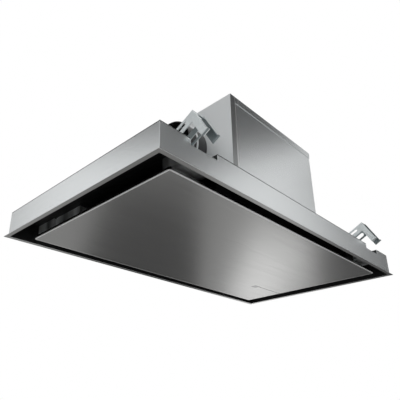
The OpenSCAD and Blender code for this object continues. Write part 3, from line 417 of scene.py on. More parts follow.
def casing_seams(
    casing, brushed, strip=13.5, cut=1.5, shadow=1.6, out=1.0, skin=0.5, hair=0.2
):
    """Zones of the casing that the photograph tells apart: the flange's underside, darkened to the
    panel's colour as painted shade; a fine painted shadow under the wall's top fold, drawn 1.6 mm
    wide so that it shows; the darker strip that is folded round the box's corner, and a painted
    highlight on its cut edge; and the box's duller side beside the duct. A zone reaches out past
    the sheet, and in by a skin, or only by a hair where the next face must stay free of it."""
    low, high = node_box("trim_frame")
    box_low, box_high = node_box("box_left")
    left, near = box_low[0], box_low[1]
    rim, roof = high[2], box_high[2] + out
    first, last = low[:2] - out, high[:2] + out
    return (
        # brushed holds the panel's colour, which darkens the flange's underside as painted shade
        zone((*first, -out), (*last, hair / 2), brushed, metal=1.0),
        zone((*first, rim - hair - shadow), (*last, rim - hair), shade(casing, 0.1), rough=0.4),
        zone((left - out, near - out, rim), (left + strip, near + skin, roof), shade(casing, 0.55)),
        # Painted highlight along the cut edge of the strip round the box's corner
        zone(
            (left + strip, near - out, rim), (left + strip + cut, near + skin, roof),
            shade(casing, 1.3),
        ),
        zone(
            (left - out, near + skin, rim), (left + hair, box_high[1] + out, roof), casing,
            metal=0.3, rough=0.4,
        ),
    )


def claw_zones(node, cheek=1.9, strip=8.0, bright=1.7, out=1.0, hair=0.1):
    """Zones across a claw, in millimetres from cheek to cheek: darker plating between the cheeks as
    painted shade, and a painted highlight along the edge of the web's window, drawn 1.7 mm wide so
    that it shows."""
    low, high = node_box(node)
    first, last = low - out, high + out
    start, end = low[0] + strip - bright, low[0] + strip + hair
    return (
        # Darker plating between the cheeks: painted shade
        zone((low[0] + cheek, *first[1:]), (high[0] - cheek, *last[1:]), linear("#8C9597")),
        # Near white along the window's edge: a painted highlight
        zone((start, *first[1:]), (end, *last[1:]), linear("#F2F5F6")),
    )


class HOOD_OT_finishes(bpy.types.Operator):
    """Make the finishes and put one on every solid"""

    bl_idname = "hood.finishes"
    bl_label = "Finishes"

    def execute(self, context):
        """Makes each material once and fills the solids' slots."""
        own = context.scene.hood
        casing = tuple(own.casing_colour)
        panel = tuple(own.panel_colour)
        plastic = tuple(own.plastic_colour)
        deck_low = node_box("top_plate")[0][2]
        mesh_low = node_box("filter_mesh_left")[0][2]
        finishes.update(
            # Casing and deck are painted near black inside the walls as painted shade; the casing's
            # seams add painted shade and highlights
            casing_steel=galvanised_sheet(
                "galvanised steel sheet", casing,
                zones=(painted_shade_inside(deck_low), *casing_seams(casing, panel)),
            ),
            deck_plate=galvanised_sheet(
                "galvanised steel, deck plate", casing,
                zones=(painted_shade_inside(deck_low, past=0.3),),
            ),
            # Inner sheets take a darker copy of the casing's colour: painted shade inside the
            # casing
            deck_steel=galvanised_sheet(
                "galvanised steel, inner sheets", shade(casing, 0.8), spangle=0.05, rough=0.3
            ),
            pocket_steel=pocket_painted_reflections("galvanised steel, pressed pockets", casing),
            # Black powder coat, its colour set darker than the real paint as painted shade inside
            # the casing
            black_steel=powder_coat("black powder-coated steel", linear("#0D0D0E")),
            screw_steel=zinc_plate("zinc-plated screw steel", linear("#B4B8B9"), 0.34),
            black_plastic=moulded_plastic("black moulded ABS", plastic),
            rubber=moulded_plastic("black rubber", linear("#1B1B1B"), 0.7, grit=1.5),
            fan_aluminium=galvanised_sheet(
                "mill-finish aluminium", linear("#C2C4C7"), spangle=0.03, rough=0.33
            ),
            motor_steel=powder_coat("grey motor lacquer", linear("#7D8082"), 0.45),
            board=solder_resist("solder resist on glass epoxy"),
            terminal_plastic=moulded_plastic("cream polyamide", linear("#E4E1D6"), 0.45),
            filter_mesh=expanded_aluminium(
                "expanded aluminium mesh", linear("#C9CCCE"), mesh_low - MESH_REACH,
                mesh_low + MESH_REACH,
            ),
            panel_steel=brushed_stainless(
                "brushed stainless steel", panel, own.grain_spacing, painted_fold_highlights("panel_face")
            ),
            window=smoked_acrylic("smoked acrylic", linear("#0B0B0C")),
            zinc_steel=zinc_plate("bright zinc-plated steel", ZINC, 0.42),
        )
        for node, solid in frame["nodes"].items():
            solid.data.materials.clear()
            solid.data.materials.append(finishes[slot_of[node]])
        return {"FINISHED"}


# Surfaces

# Distances in metres: points this close are one point, and a face this narrow is none
MERGE = 1e-6
SLIVER = 1e-5
# Angles in degrees: faces that meet flatter than the first are one, steeper than the second a fold
FLAT_ANGLE = 0.4
FOLD_ANGLE = 30.0


def stand_in(piece, node):
    """Puts a piece in a solid's place: it hides the solid and rides with it."""
    bpy.context.scene.collection.objects.link(piece)
    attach(piece, frame["nodes"][node]["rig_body"])
    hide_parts(node)


def link_mesh(name, points, faces, material, node, smooth=True):
    """Makes a mesh of points in millimetres and faces, which stands in for a solid."""
    mesh = bpy.data.meshes.new(name)
    mesh.from_pydata(mm(points).tolist(), [], faces.tolist())
    mesh.polygons.foreach_set("use_smooth", np.full(len(mesh.polygons), smooth))
    mesh.materials.append(material)
    mesh.update()
    piece = bpy.data.objects.new(name, mesh)
    stand_in(piece, node)
    return piece


def mark_folds(form, angle):
    """Marks the edges of a form that are steeper than an angle in degrees as sharp."""
    for edge in form.edges:
        edge.smooth = not (edge.is_manifold and edge.calc_face_angle() > math.radians(angle))


def keep_creases(piece, angle=35.0):
    """Closes a piece's poles, turns its faces to look outwards and marks its creases."""
    form = bmesh.new()
    form.from_mesh(piece.data)
    bmesh.ops.remove_doubles(form, verts=form.verts, dist=MERGE)
    bmesh.ops.recalc_face_normals(form, faces=form.faces)
    mark_folds(form, angle)
    form.to_mesh(piece.data)
    form.free()


def soft_copy(node, material, radius, clamped=True):
    """The node's own shape with its loose triangles merged and its edges rounded by a bevel. A
    shape with one very narrow face has to do without the clamp, which would undo its bevel."""
    mesh = frame["nodes"][node].data.copy()
    mesh.name = node + "_skin"
    form = bmesh.new()
    form.from_mesh(mesh)
    bmesh.ops.remove_doubles(form, verts=form.verts, dist=MERGE)
    if not clamped:
        bmesh.ops.dissolve_degenerate(form, dist=SLIVER, edges=form.edges)
    bmesh.ops.dissolve_limit(
        form, angle_limit=math.radians(FLAT_ANGLE), verts=form.verts, edges=form.edges
    )
    for face in form.faces:
        face.smooth = True
        face.material_index = 0
    mark_folds(form, FOLD_ANGLE)
    form.to_mesh(mesh)
    form.free()
    mesh.materials.clear()
    mesh.materials.append(material)
    piece = bpy.data.objects.new(mesh.name, mesh)
    bevel = piece.modifiers.new("Fold", "BEVEL")
    bevel.width = radius
    bevel.segments = 2
    bevel.use_clamp_overlap = clamped
    bevel.limit_method = "ANGLE"
    bevel.angle_limit = math.radians(FOLD_ANGLE)
    bevel.harden_normals = True
    stand_in(piece, node)


def tube_faces(rows, columns, closed=False):
    """Quads of a grid of rings; the columns close on themselves, the rows too if closed."""
    row = np.arange(rows if closed else rows - 1)[:, None]
    column = np.arange(columns)[None, :]
    here, above = row * columns, ((row + 1) % rows) * columns
    right = (column + 1) % columns
    quads = np.stack([here + column, here + right, above + right, above + column], -1)
    return quads.reshape(-1, 4)


def slab_faces(rows, columns):
    """Quads of two stacked grids, the first looking down, joined round their edge."""
    count = rows * columns
    index = np.arange(count).reshape(rows, columns)
    cell = [index[:-1, :-1], index[:-1, 1:], index[1:, 1:], index[1:, :-1]]
    under = np.stack(cell, -1).reshape(-1, 4)
    over = np.stack(cell[::-1], -1).reshape(-1, 4) + count
    edge = np.concatenate([index[0, :-1], index[:-1, -1], index[-1, :0:-1], index[:0:-1, 0]])
    following = np.roll(edge, -1)
    wall = np.stack([following, edge, edge + count, following + count], -1)
    return np.concatenate([under, over, wall])


def turn_round(count):
    """Equal angles once round, the last one short of the first."""
    return np.linspace(0, 2 * math.pi, count, endpoint=False)


def rings(outline, angles):
    """Points of a surface round Z: the radius times the cosine and the sine of each angle, and
    the height. The outline gives the height of each ring and its radius, which is one number or
    one for each angle; a ring of radius zero is a pole."""
    radii = np.array([np.broadcast_to(radius, angles.shape) for _, radius in outline], float)
    heights = np.array([height for height, _ in outline], float)
    heights = np.broadcast_to(heights[:, None], radii.shape)
    return np.stack([radii * np.cos(angles), radii * np.sin(angles), heights], -1).reshape(-1, 3)


def hexagon(angles, across):
    """Radius of a hexagon at each angle, its flats `across` apart: half of that over the cosine
    of the angle from the middle of the nearest flat."""
    sixth = math.pi / 3
    return across / 2 / np.cos((angles + sixth / 2) % sixth - sixth / 2)


def turned(points, towards, place):
    """Turns points so that their Z looks towards a direction, and moves them to a place."""
    turn = np.array(Vector(towards).to_track_quat("Z", "Y").to_matrix())
    return points @ turn.T + np.asarray(place, float)


# Casing and panel

FOLDED_SHEETS = (
    "trim_frame", "top_plate", "box_front", "box_back", "box_left", "box_right", "box_lid",
    "control_box", "control_cover", "clamp_pockets", "clamp_guides", "filter_tray",
)
# Sheets that have a finish apart from the one of their slot
OWN_FINISH = {
    "top_plate": "deck_plate",
    "clamp_pockets": "pocket_steel",
    "control_box": "pocket_steel",
    "control_cover": "pocket_steel",
}
# Solids of the panel, each with its finish and its edge radius in fold radii
PANEL_PIECES = (
    ("panel_face", "panel_steel", 1.4),
    ("panel_liner", "black_steel", 1.0),
    ("receiver_window", "window", 1.0),
    ("hinge_leaves", "zinc_steel", 1.0),
    ("hinge_brackets", "zinc_steel", 1.0),
    ("catch_magnets", "black_plastic", 2.0),
)


class HOOD_OT_folded_sheets(bpy.types.Operator):
    """Round the folds and cut edges of the casing's sheets"""

    bl_idname = "hood.folded_sheets"
    bl_label = "Folded sheets"

    def execute(self, context):
        """Copies each sheet with a small radius on its edges."""
        for node in FOLDED_SHEETS:
            finish = OWN_FINISH.get(node, slot_of[node])
            soft_copy(node, finishes[finish], context.scene.hood.fold_radius)
        return {"FINISHED"}


class HOOD_OT_suction_panel(bpy.types.Operator):
    """Round the edges of the suction panel, its window, hinges and catches"""

    bl_idname = "hood.suction_panel"
    bl_label = "Suction panel"

    def execute(self, context):
        """Copies each solid of the panel with its own soft edge."""
        for node, finish, folds in PANEL_PIECES:
            soft_copy(node, finishes[finish], folds * context.scene.hood.fold_radius)
        return {"FINISHED"}


# Duct collar

COLLAR_WALL = 2.5
COLLAR_FLANGE = 6.0  # how far the flange stands out of the wall
FLANGE_BACK, FLANGE_FRONT = 5.5, 3.0  # distances of its faces inside the box's face
SEAT_WIDTH, SEAT_LENGTH = 3.0, 2.0  # of the step in the bore, on which the flaps rest
BEAD_FROM_MOUTH, BEAD_WIDTH, BEAD_HEIGHT = 21.0, 3.0, 2.5
ARC_POINTS = 9


def collar_outline(face, low, high):
    """Closed outline of the duct collar, as distances out of the box's face and radii, from the
    corners of its solid: a flange inside the box, a plain outside with a half-round bead, a
    half-round lip and a bore with a step. Along the bead the radius grows by the sine of the
    turn to the power 0.6, which makes it fuller than a half circle."""
    length, tail = face - low[0], high[0] - face
    rim = (high[2] - low[2]) / 2
    outer = rim - COLLAR_FLANGE
    bore, half = outer - COLLAR_WALL, COLLAR_WALL / 2
    edge, slope, foot = 0.5, 0.3, 0.6
    turn = np.linspace(0.0, math.pi, ARC_POINTS)
    bead = length - BEAD_FROM_MOUTH - BEAD_WIDTH / 2
    bead_half = BEAD_WIDTH / 2
    bead_arc = zip(bead - bead_half * np.cos(turn), outer + BEAD_HEIGHT * np.sin(turn) ** 0.6)
    lip_arc = zip(length - half + half * np.sin(turn), outer - half + half * np.cos(turn))
    return [
        (-tail, outer), (-FLANGE_BACK, outer), (-FLANGE_BACK, rim - edge),
        (-FLANGE_BACK + slope, rim), (-FLANGE_FRONT - slope, rim), (-FLANGE_FRONT, rim - edge),
        (-FLANGE_FRONT, outer), (0.0, outer), (bead - bead_half - foot, outer),
        *bead_arc, (bead + bead_half + foot, outer), *lip_arc,
        (0.0, bore), (SEAT_LENGTH - tail, bore), (SEAT_LENGTH - tail, bore - SEAT_WIDTH),
        (-tail, bore - SEAT_WIDTH),
    ]


class HOOD_OT_duct_collar(bpy.types.Operator):
    """Turn the black duct collar with its bead and rounded lip"""

    bl_idname = "hood.duct_collar"
    bl_label = "Duct collar"

    def execute(self, context):
        """Carries the collar's outline round its axis, which runs out of the box along -X."""
        low, high = node_box("duct_spigot")
        face = node_box("box_left")[0][0]
        out, margin = 1.0, 0.2
        first = low[0] + BEAD_FROM_MOUTH - margin
        last = low[0] + BEAD_FROM_MOUTH + BEAD_WIDTH + margin
        # A pale band on the bead: a painted highlight
        bead_highlight = zone(
            (first, *(low[1:] - out)), (last, *(high[1:] + out)), linear("#DDE0E1"), metal=0.0
        )
        collar_plastic = moulded_plastic(
            "black moulded ABS, painted highlight on the bead", tuple(context.scene.hood.plastic_colour),
            0.34, zones=(bead_highlight,),
        )
        angles = turn_round(96)
        outline = collar_outline(face, low, high)
        centre = (low + high) / 2
        points = turned(rings(outline, angles), (-1, 0, 0), (face, centre[1], centre[2]))
        faces = tube_faces(len(outline), len(angles), closed=True)
        keep_creases(link_mesh("duct_collar", points, faces, collar_plastic, "duct_spigot"))
        return {"FINISHED"}


# Clamps

SHANK_RADIUS, TIP_RADIUS, TIP_LENGTH = 2.9, 1.9, 0.6
HEAD_HEIGHT, HEAD_FLATS = 4.0, 8.66
SOCKET_DEPTH, SOCKET_FLATS = 2.6, 5.0
NECK_LENGTH = 2.7  # from the head to the thrust collar
THRUST_RADIUS, THRUST_HEIGHT = 4.5, 2.0
THREAD_FROM_THRUST = 4.0  # from the thrust collar's lower face
THREAD_DEPTH_SHARE = 0.16  # of the shank's radius
ROWS_A_PITCH = 6


def thread_rings(low, high, outer, pitch, angles):
    """Heights and radii of a screw thread: the radius falls and rises in a triangle wave of the
    height less the share of a turn, so each crest climbs one pitch a turn. It runs out over the
    last pitch at both ends."""
    rows = int(round((high - low) / pitch * ROWS_A_PITCH)) + 1
    heights = np.linspace(low, high, rows)
    phase = (heights[:, None] / pitch - angles[None, :] / (2 * math.pi)) % 1.0
    depth = THREAD_DEPTH_SHARE * outer
    radii = outer - depth * np.abs(2 * phase - 1)
    runout = np.clip(np.minimum(heights - low, high - heights) / pitch, 0, 1)[:, None]
    return zip(heights, outer - depth + (radii - outer + depth) * runout)


def screw_outline(low, high, pitch, angles):
    """Heights and radii of a clamp screw, between its lowest and highest point: up from the
    floor of its hexagon socket round the hexagon head, the neck, the thrust collar and the
    thread to the tip."""
    flats, socket = hexagon(angles, HEAD_FLATS), hexagon(angles, SOCKET_FLATS)
    edge, bevel, rise = 0.2, 0.7, 0.5
    head_top = low + HEAD_HEIGHT
    thrust_low = head_top + NECK_LENGTH
    thrust_top = thrust_low + THRUST_HEIGHT
    thread_low = thrust_low + THREAD_FROM_THRUST
    return [
        (low + SOCKET_DEPTH, 0.0), (low + SOCKET_DEPTH, socket), (low + edge, socket),
        (low, socket + edge), (low, flats - bevel), (low + rise, flats),
        (head_top - edge, flats), (head_top, flats - edge), (head_top, SHANK_RADIUS),
        (thrust_low, SHANK_RADIUS), (thrust_low, THRUST_RADIUS), (thrust_top, THRUST_RADIUS),
        (thrust_top, SHANK_RADIUS),
        *thread_rings(thread_low, high - TIP_LENGTH, SHANK_RADIUS, pitch, angles),
        (high, TIP_RADIUS), (high, 0.0),
    ]


class HOOD_OT_clamp_screws(bpy.types.Operator):
    """Cut the threads of the clamp screws and press sockets into their heads"""

    bl_idname = "hood.clamp_screws"
    bl_label = "Clamp screws"

    def execute(self, context):
        """One surface of rings for each screw, from its socket up to its tip."""
        pitch = context.scene.hood.thread_pitch * 1000.0
        angles = turn_round(30)
        for clamp in CLAMPS:
            low, high = node_box("screw_" + clamp)
            outline = screw_outline(low[2], high[2], pitch, angles)
            centre = (low + high) / 2
            screw = link_mesh(
                "clamp_screw_" + clamp, rings(outline, angles) + (centre[0], centre[1], 0.0),
                tube_faces(len(outline), len(angles)), finishes["screw_steel"], "screw_" + clamp,
            )
            keep_creases(screw, angle=50.0)
        return {"FINISHED"}


class HOOD_OT_claws(bpy.types.Operator):
    """Round the edges of the pressed claws and their nuts"""

    bl_idname = "hood.claws"
    bl_label = "Claws"

    def execute(self, context):
        """Copies each claw and nut with the soft edge that a press tool leaves."""
        fold = context.scene.hood.fold_radius
        for clamp in CLAMPS:
            plated = zinc_plate(
                "bright zinc-plated steel, claw " + clamp.replace("_", " "), ZINC, 0.42,
                claw_zones("claw_" + clamp),
            )
            soft_copy("claw_" + clamp, plated, fold, clamped=False)
            soft_copy("nut_" + clamp, finishes["zinc_steel"], 1.5 * fold)
        return {"FINISHED"}


# Sheet screws

# Radius of each group's shanks and heads, and height of the heads and length of the shanks
SHEET_SCREWS = {
    "lid_screws": (1.6, 3.2, 1.6, 4.0),
    "deck_screws": (2.0, 4.0, 2.0, 3.0),
}
# Radii of the rings on a pan head, half width and reach of its cross recess, as shares of the
# head's radius; fall of its dome and depth of the recess, as shares of its height
HEAD_SHARES = np.array([0.0, 0.12, 0.22, 0.3, 0.4, 0.5, 0.56, 0.7, 0.84, 0.94, 1.0])
SLOT_SHARE, REACH_SHARE = 0.13, 0.55
DOME_SHARE, RECESS_SHARE = 0.55, 0.6


def pan_head(shank, radius, height, length):
    """Points and faces of a pan-head screw along +Z, its seat at zero. The head is a polar grid
    whose height falls with the cube of the radius, and is sunk where a cross recess lies; the
    rim, the seat and the shank follow."""
    angles = turn_round(48)
    spread = radius * HEAD_SHARES
    across = spread[:, None] * np.cos(angles)
    along = spread[:, None] * np.sin(angles)
    dome = height * (1 - DOME_SHARE * (spread[:, None] / radius) ** 3) * np.ones_like(angles)
    slot, reach = SLOT_SHARE * radius, REACH_SHARE * radius
    recess = ((np.abs(across) < slot) & (np.abs(along) < reach)) | (
        (np.abs(along) < slot) & (np.abs(across) < reach)
    )
    top = np.stack([across, along, dome - recess * RECESS_SHARE * height], -1).reshape(-1, 3)
    below = [(0.0, radius), (0.0, shank), (-length, shank), (-length, 0.0)]
    points = np.concatenate([top, rings(below, angles)])
    return points, tube_faces(len(spread) + len(below), len(angles))


def separate_solids(node):
    """Points, in millimetres, of each separate solid of a node. Equal points are merged, each
    takes a number, and every triangle gives its three points the lowest of their numbers until
    none changes, so that all points of one solid share one number."""
    mesh = frame["nodes"][node].data
    places = np.empty(3 * len(mesh.vertices))
    mesh.vertices.foreach_get("co", places)
    corners = np.empty(len(mesh.loops), int)
    mesh.loops.foreach_get("vertex_index", corners)
    rounded = np.round(places.reshape(-1, 3) / MERGE).astype(int)
    _, first, merged = np.unique(rounded, axis=0, return_index=True, return_inverse=True)
    points = places.reshape(-1, 3)[first] * 1000.0
    triangles = merged.reshape(-1)[corners].reshape(-1, 3)
    number = np.arange(len(points))
    changed = True
    while changed:
        lowest = number.copy()
        np.minimum.at(lowest, triangles, number[triangles].min(1)[:, None])
        changed = bool((lowest != number).any())
        number = lowest
    return [points[number == solid] for solid in np.unique(number)]


def screw_axis(solid, head, margin=0.3):
    """The number of a screw's axis, along which its box differs most from the two other sides,
    and plus or minus one for the end where its points lie at the head's radius."""
    low, high = solid.min(0), solid.max(0)
    size, middle = high - low, (low + high) / 2
    axis = int(np.argmax(np.abs(size[:, None] - size).sum(1)))
    off = np.delete(solid - middle, axis, axis=1)
    rim = np.hypot(off[:, 0], off[:, 1]) > head - margin
    return axis, 1 if solid[rim][:, axis].mean() > middle[axis] else -1


class HOOD_OT_sheet_screws(bpy.types.Operator):
    """Give the sheet screws their pan heads with cross recesses"""

    bl_idname = "hood.sheet_screws"
    bl_label = "Sheet screws"

    def execute(self, context):
        """Finds each screw among its node's separate solids and sets a turned one there."""
        for node, (shank, head, tall, length) in SHEET_SCREWS.items():
            shape, shape_faces = pan_head(shank, head, tall, length)
            points, faces = [], []
            for solid in separate_solids(node):
                axis, side = screw_axis(solid, head)
                low, high = solid.min(0), solid.max(0)
                towards = np.zeros(3)
                towards[axis] = side
                seat = (low + high) / 2
                seat[axis] = (high if side > 0 else low)[axis] - side * tall
                faces.append(shape_faces + len(points) * len(shape))
                points.append(turned(shape, towards, seat))
            screws = link_mesh(
                node + "_turned", np.concatenate(points), np.concatenate(faces),
                finishes["screw_steel"], node,
            )
            keep_creases(screws, angle=40.0)
        return {"FINISHED"}


# Grease filters

MESH_GRID = 1.6  # spacing of the points of the filter mesh
OPENING_RISE = 1.4  # of the openings over the underside of the mesh's solid
STRAND_DROP = 2.4  # from the openings to the lowest line of the strands
MESH_COVER = 0.5  # of the flat upper side over the solid
STRAND_FROM, STRAND_RISE = 0.1, 0.6  # of the cosine, from a strand's edge to its lowest line


def diamond_mesh(low, high, cell):
    """Points and faces of a slab over a box. Its upper side is flat. Its lower side hangs down
    in strands along two crossing families of lines: where the cosine of x over the cell, plus
    or minus y over half the cell, is high."""
    across = np.arange(low[0], high[0], MESH_GRID)
    along = np.arange(low[1], high[1], MESH_GRID)
    across[-1], along[-1] = high[0], high[1]
    x, y = np.meshgrid(across, along, indexing="ij")
    first = np.cos(2 * math.pi * (x / cell + y / (0.5 * cell)))
    second = np.cos(2 * math.pi * (x / cell - y / (0.5 * cell)))
    strand = np.clip((np.maximum(first, second) - STRAND_FROM) / STRAND_RISE, 0, 1)
    under = low[2] + OPENING_RISE - STRAND_DROP * strand
    over = np.full(x.shape, high[2] + MESH_COVER)
    points = np.stack([np.stack([x, y, under], -1), np.stack([x, y, over], -1)])
    return points.reshape(-1, 3), slab_faces(*x.shape)


class HOOD_OT_grease_filters(bpy.types.Operator):
    """Press the diamond mesh of the grease filters and round their borders"""

    bl_idname = "hood.grease_filters"
    bl_label = "Grease filters"

    def execute(self, context):
        """Copies each filter's frame and latch softly, and makes its mesh."""
        own = context.scene.hood
        for side in ("left", "right"):
            soft_copy("filter_frame_" + side, finishes["fan_aluminium"], own.fold_radius)
            soft_copy("filter_latch_" + side, finishes["black_plastic"], own.fold_radius)
            node = "filter_mesh_" + side
            points, faces = diamond_mesh(*node_box(node), own.mesh_cell * 1000.0)
            link_mesh(
                "filter_mesh_strands_" + side, points, faces, finishes["filter_mesh"], node,
                smooth=False,
            )
        return {"FINISHED"}


# Cable gland

GLAND_RADIUS, GLAND_THREAD, GLAND_BORE = 8.0, 6.5, 4.5
GLAND_NUT_DROP, GLAND_NUT_HEIGHT = 6.0, 4.0
GLAND_HEX_HEIGHT, GLAND_FLATS = 3.7, 14.4
FLUTES, FLUTE_DEPTH = 18, 0.7
# The dome nut: heights of its groove, of its flutes' ends, its shoulder and its crown over the
# deck, and how far groove, shoulder, crown and top are drawn in
DOME_RISES = (4.2, 4.8, 9.0, 10.4, 11.5)
DOME_INSETS = (0.9, 0.5, 1.9, 2.6)


def gland_outline(bottom, deck, top, angles):
    """Closed outline of the gland as heights and radii, between its lower and its upper end: the
    thread with its lock nut, the hexagon on the deck, the fluted dome nut, and down the bore
    again. The flutes follow a cosine of the angle."""
    flutes = GLAND_RADIUS - FLUTE_DEPTH / 2 * (1 + np.cos(FLUTES * angles))
    hexed = np.minimum(hexagon(angles, GLAND_FLATS), GLAND_RADIUS)
    edge, lip = 0.3, 0.4
    nut_low = deck - GLAND_NUT_DROP
    nut_top = nut_low + GLAND_NUT_HEIGHT
    hex_top = deck + GLAND_HEX_HEIGHT
    groove, flutes_low, flutes_top, shoulder, crown = (deck + rise for rise in DOME_RISES)
    groove_in, shoulder_in, crown_in, top_in = DOME_INSETS
    return [
        (bottom, GLAND_BORE), (bottom, GLAND_THREAD - lip), (bottom + lip, GLAND_THREAD),
        (nut_low, GLAND_THREAD), (nut_low, hexed - edge), (nut_low + edge, hexed),
        (nut_top - edge, hexed), (nut_top, hexed - edge), (nut_top, GLAND_THREAD),
        (deck, GLAND_THREAD), (deck, hexed - edge), (deck + edge, hexed),
        (hex_top - edge, hexed), (hex_top, hexed - lip),
        (groove, GLAND_RADIUS - groove_in), (flutes_low, flutes), (flutes_top, flutes),
        (shoulder, flutes - shoulder_in), (crown, GLAND_RADIUS - crown_in),
        (top, GLAND_RADIUS - top_in), (top, GLAND_BORE + edge), (top - lip, GLAND_BORE),
    ]


class HOOD_OT_cable_gland(bpy.types.Operator):
    """Mould the cable gland with its fluted dome nut"""

    bl_idname = "hood.cable_gland"
    bl_label = "Cable gland"

    def execute(self, context):
        """Carries the gland's outline round Z."""
        low, high = node_box("cable_gland")
        centre = (low + high) / 2
        angles = turn_round(72)
        outline = gland_outline(low[2], node_box("top_plate")[1][2], high[2], angles)
        gland = link_mesh(
            "cable_gland_dome", rings(outline, angles) + (centre[0], centre[1], 0.0),
            tube_faces(len(outline), len(angles), closed=True), finishes["black_plastic"],
            "cable_gland",
        )
        keep_creases(gland)
        return {"FINISHED"}


# Studio, in metres

CAMERA_PLACE = (-0.8271, -0.6702, -0.3696)
# Angles in radians: from +Y towards +X, upwards, and round the line of sight
CAMERA_TURN = (0.8161, 0.3943, -0.0092)
# Focal length and shift as shares of the picture's width
CAMERA_LENS = 1.1180
CAMERA_SHIFT = (0.02, 0.08)

FLOOR_Z = -1.6
FLOOR_HALF = 20.0
# The floor's white share goes from the first to the second number between two distances, and
# is smaller in reflections
FLOOR_WHITE = (0.75, 1.0)
FLOOR_FADE = (2.5, 9.0)
FLOOR_MIRRORED = 0.2
# Strength of the white world as light
WORLD_LIGHT = 0.35

# Each lamp: place, direction of light, direction of its width, width and height, power in watts
LAMPS = {
    "key": ((-2.6, -2.4, 0.3), (2.6, 2.4, -0.25), (1.0, -1.0, 0.0), (3.6, 2.0), 33.0),
    "fill": ((2.2, 3.0, 0.8), (-2.1, -3.0, -0.75), (-1.0, 0.7, 0.0), (2.4, 2.4), 16.0),
    "top": ((-0.8, 0.6, 2.8), (0.8, -0.6, -2.7), (1.0, 0.0, 0.3), (3.0, 3.0), 24.0),
    "strip": ((4.85, 3.25, -1.55), (0.0, 0.0, 1.0), (1.94, 2.03, 0.0), (4.4, 0.85), 16.0),
}
# The one lamp that metal mirrors, as the bright band on the panel; the others only light it
MIRRORED = "strip"

# Dark cards, for reflections only: azimuth from +X, elevation, half widths of both, in degrees
FLAGS = {
    "flag above near": (-22.0, 46.0, 38.0, 11.5),
    "flag above left": (137.0, 43.0, 24.0, 10.5),
    "flag back": (101.0, 18.0, 15.0, 18.0),
    "flag near left": (-58.0, 32.0, 9.0, 9.0),
    "flag right": (-3.0, 12.0, 24.0, 22.0),
}
FLAG_DISTANCE = 4.0
# Grey cards lying on the floor: first and last azimuth in degrees, and colour
FLOOR_FLAGS = {
    "flag low left": (43.0, 62.0, "#8A8A8A"),
    "flag low right": (0.0, 25.0, "#A9A9A9"),
}
FLOOR_FLAG_RADII = (2.2, 14.0)
FLOOR_FLAG_RISE = 0.03


def seen_directly(tree, straight, bounced):
    """One share for the camera's rays, one for those of gloss and of glass, none for light."""
    path = add(tree, "LightPath").outputs
    either = add(
        tree, "Math", {0: path["Is Glossy Ray"], 1: path["Is Transmission Ray"]},
        operation="MAXIMUM",
    )
    mirrored = add(tree, "Math", {0: either, 1: bounced}, operation="MULTIPLY")
    return add(
        tree, "Math", {0: path["Is Camera Ray"], 1: straight, 2: mirrored},
        operation="MULTIPLY_ADD",
    )


def floor_paint():
    """Pale matt paint, part of it white to the camera and in reflections, all of it far off,
    where the floor would otherwise end in a line against the white background. Its mottle is
    about 330 mm wide."""
    material, tree, place = new_material("pale floor paint")
    mottle = add(tree, "TexNoise", {"Vector": place, "Scale": 3.0})
    greys = add(
        tree, "ValToRGB", {"Fac": mottle},
        stops=((0.0, linear("#EDEDEC")), (1.0, linear("#F1F1F0"))),
    )
    paint = add(tree, "BsdfDiffuse", {"Color": greys})
    glow = add(tree, "Emission", {"Color": (1, 1, 1, 1), "Strength": 1.0})
    far = add(tree, "VectorMath", {0: place}, operation="LENGTH").outputs["Value"]
    white = add(
        tree, "MapRange",
        {"Value": far, "From Min": FLOOR_FADE[0], "From Max": FLOOR_FADE[1],
         "To Min": FLOOR_WHITE[0], "To Max": FLOOR_WHITE[1]},
    )
    seen = seen_directly(tree, white, FLOOR_MIRRORED)
    mixed = add(tree, "MixShader", {0: seen, 1: paint, 2: glow})
    add(tree, "OutputMaterial", {"Surface": mixed})
    return material


def card_paper(name, colour):
    """Matt card, faintly mottled by its fibres over 200 mm."""
    material, tree, place = new_material(name)
    fibre = add(tree, "TexNoise", {"Vector": place, "Scale": every(200.0)})
    greys = add(
        tree, "ValToRGB", {"Fac": fibre},
        stops=((0.0, shade(colour, 0.9)), (1.0, shade(colour, 1.1))),
    )
    paper = add(tree, "BsdfDiffuse", {"Color": greys})
    add(tree, "OutputMaterial", {"Surface": paper})
    return material


def stage_sheet(name, points, material):
    """A flat four-cornered sheet of the studio, its corners in metres."""
    mesh = bpy.data.meshes.new(name)
    mesh.from_pydata(np.asarray(points).tolist(), [], [(0, 1, 2, 3)])
    mesh.materials.append(material)
    sheet = bpy.data.objects.new(name, mesh)
    bpy.context.scene.collection.objects.link(sheet)
    return sheet


def soft_lamp(context, name, place, towards, along, size, power):
    """A soft box that shines one way, its width lying along a second direction."""
    data = bpy.data.lights.new(name, "AREA")
    data.shape, data.energy = "RECTANGLE", power
    data.size, data.size_y = size
    back = -Vector(towards).normalized()
    height = back.cross(Vector(along)).normalized()
    lamp = bpy.data.objects.new(name, data)
    turn = Matrix((height.cross(back), height, back)).transposed().to_4x4()
    lamp.matrix_world = Matrix.Translation(place) @ turn
    lamp.visible_camera = False
    lamp.visible_glossy = name == MIRRORED
    context.scene.collection.objects.link(lamp)


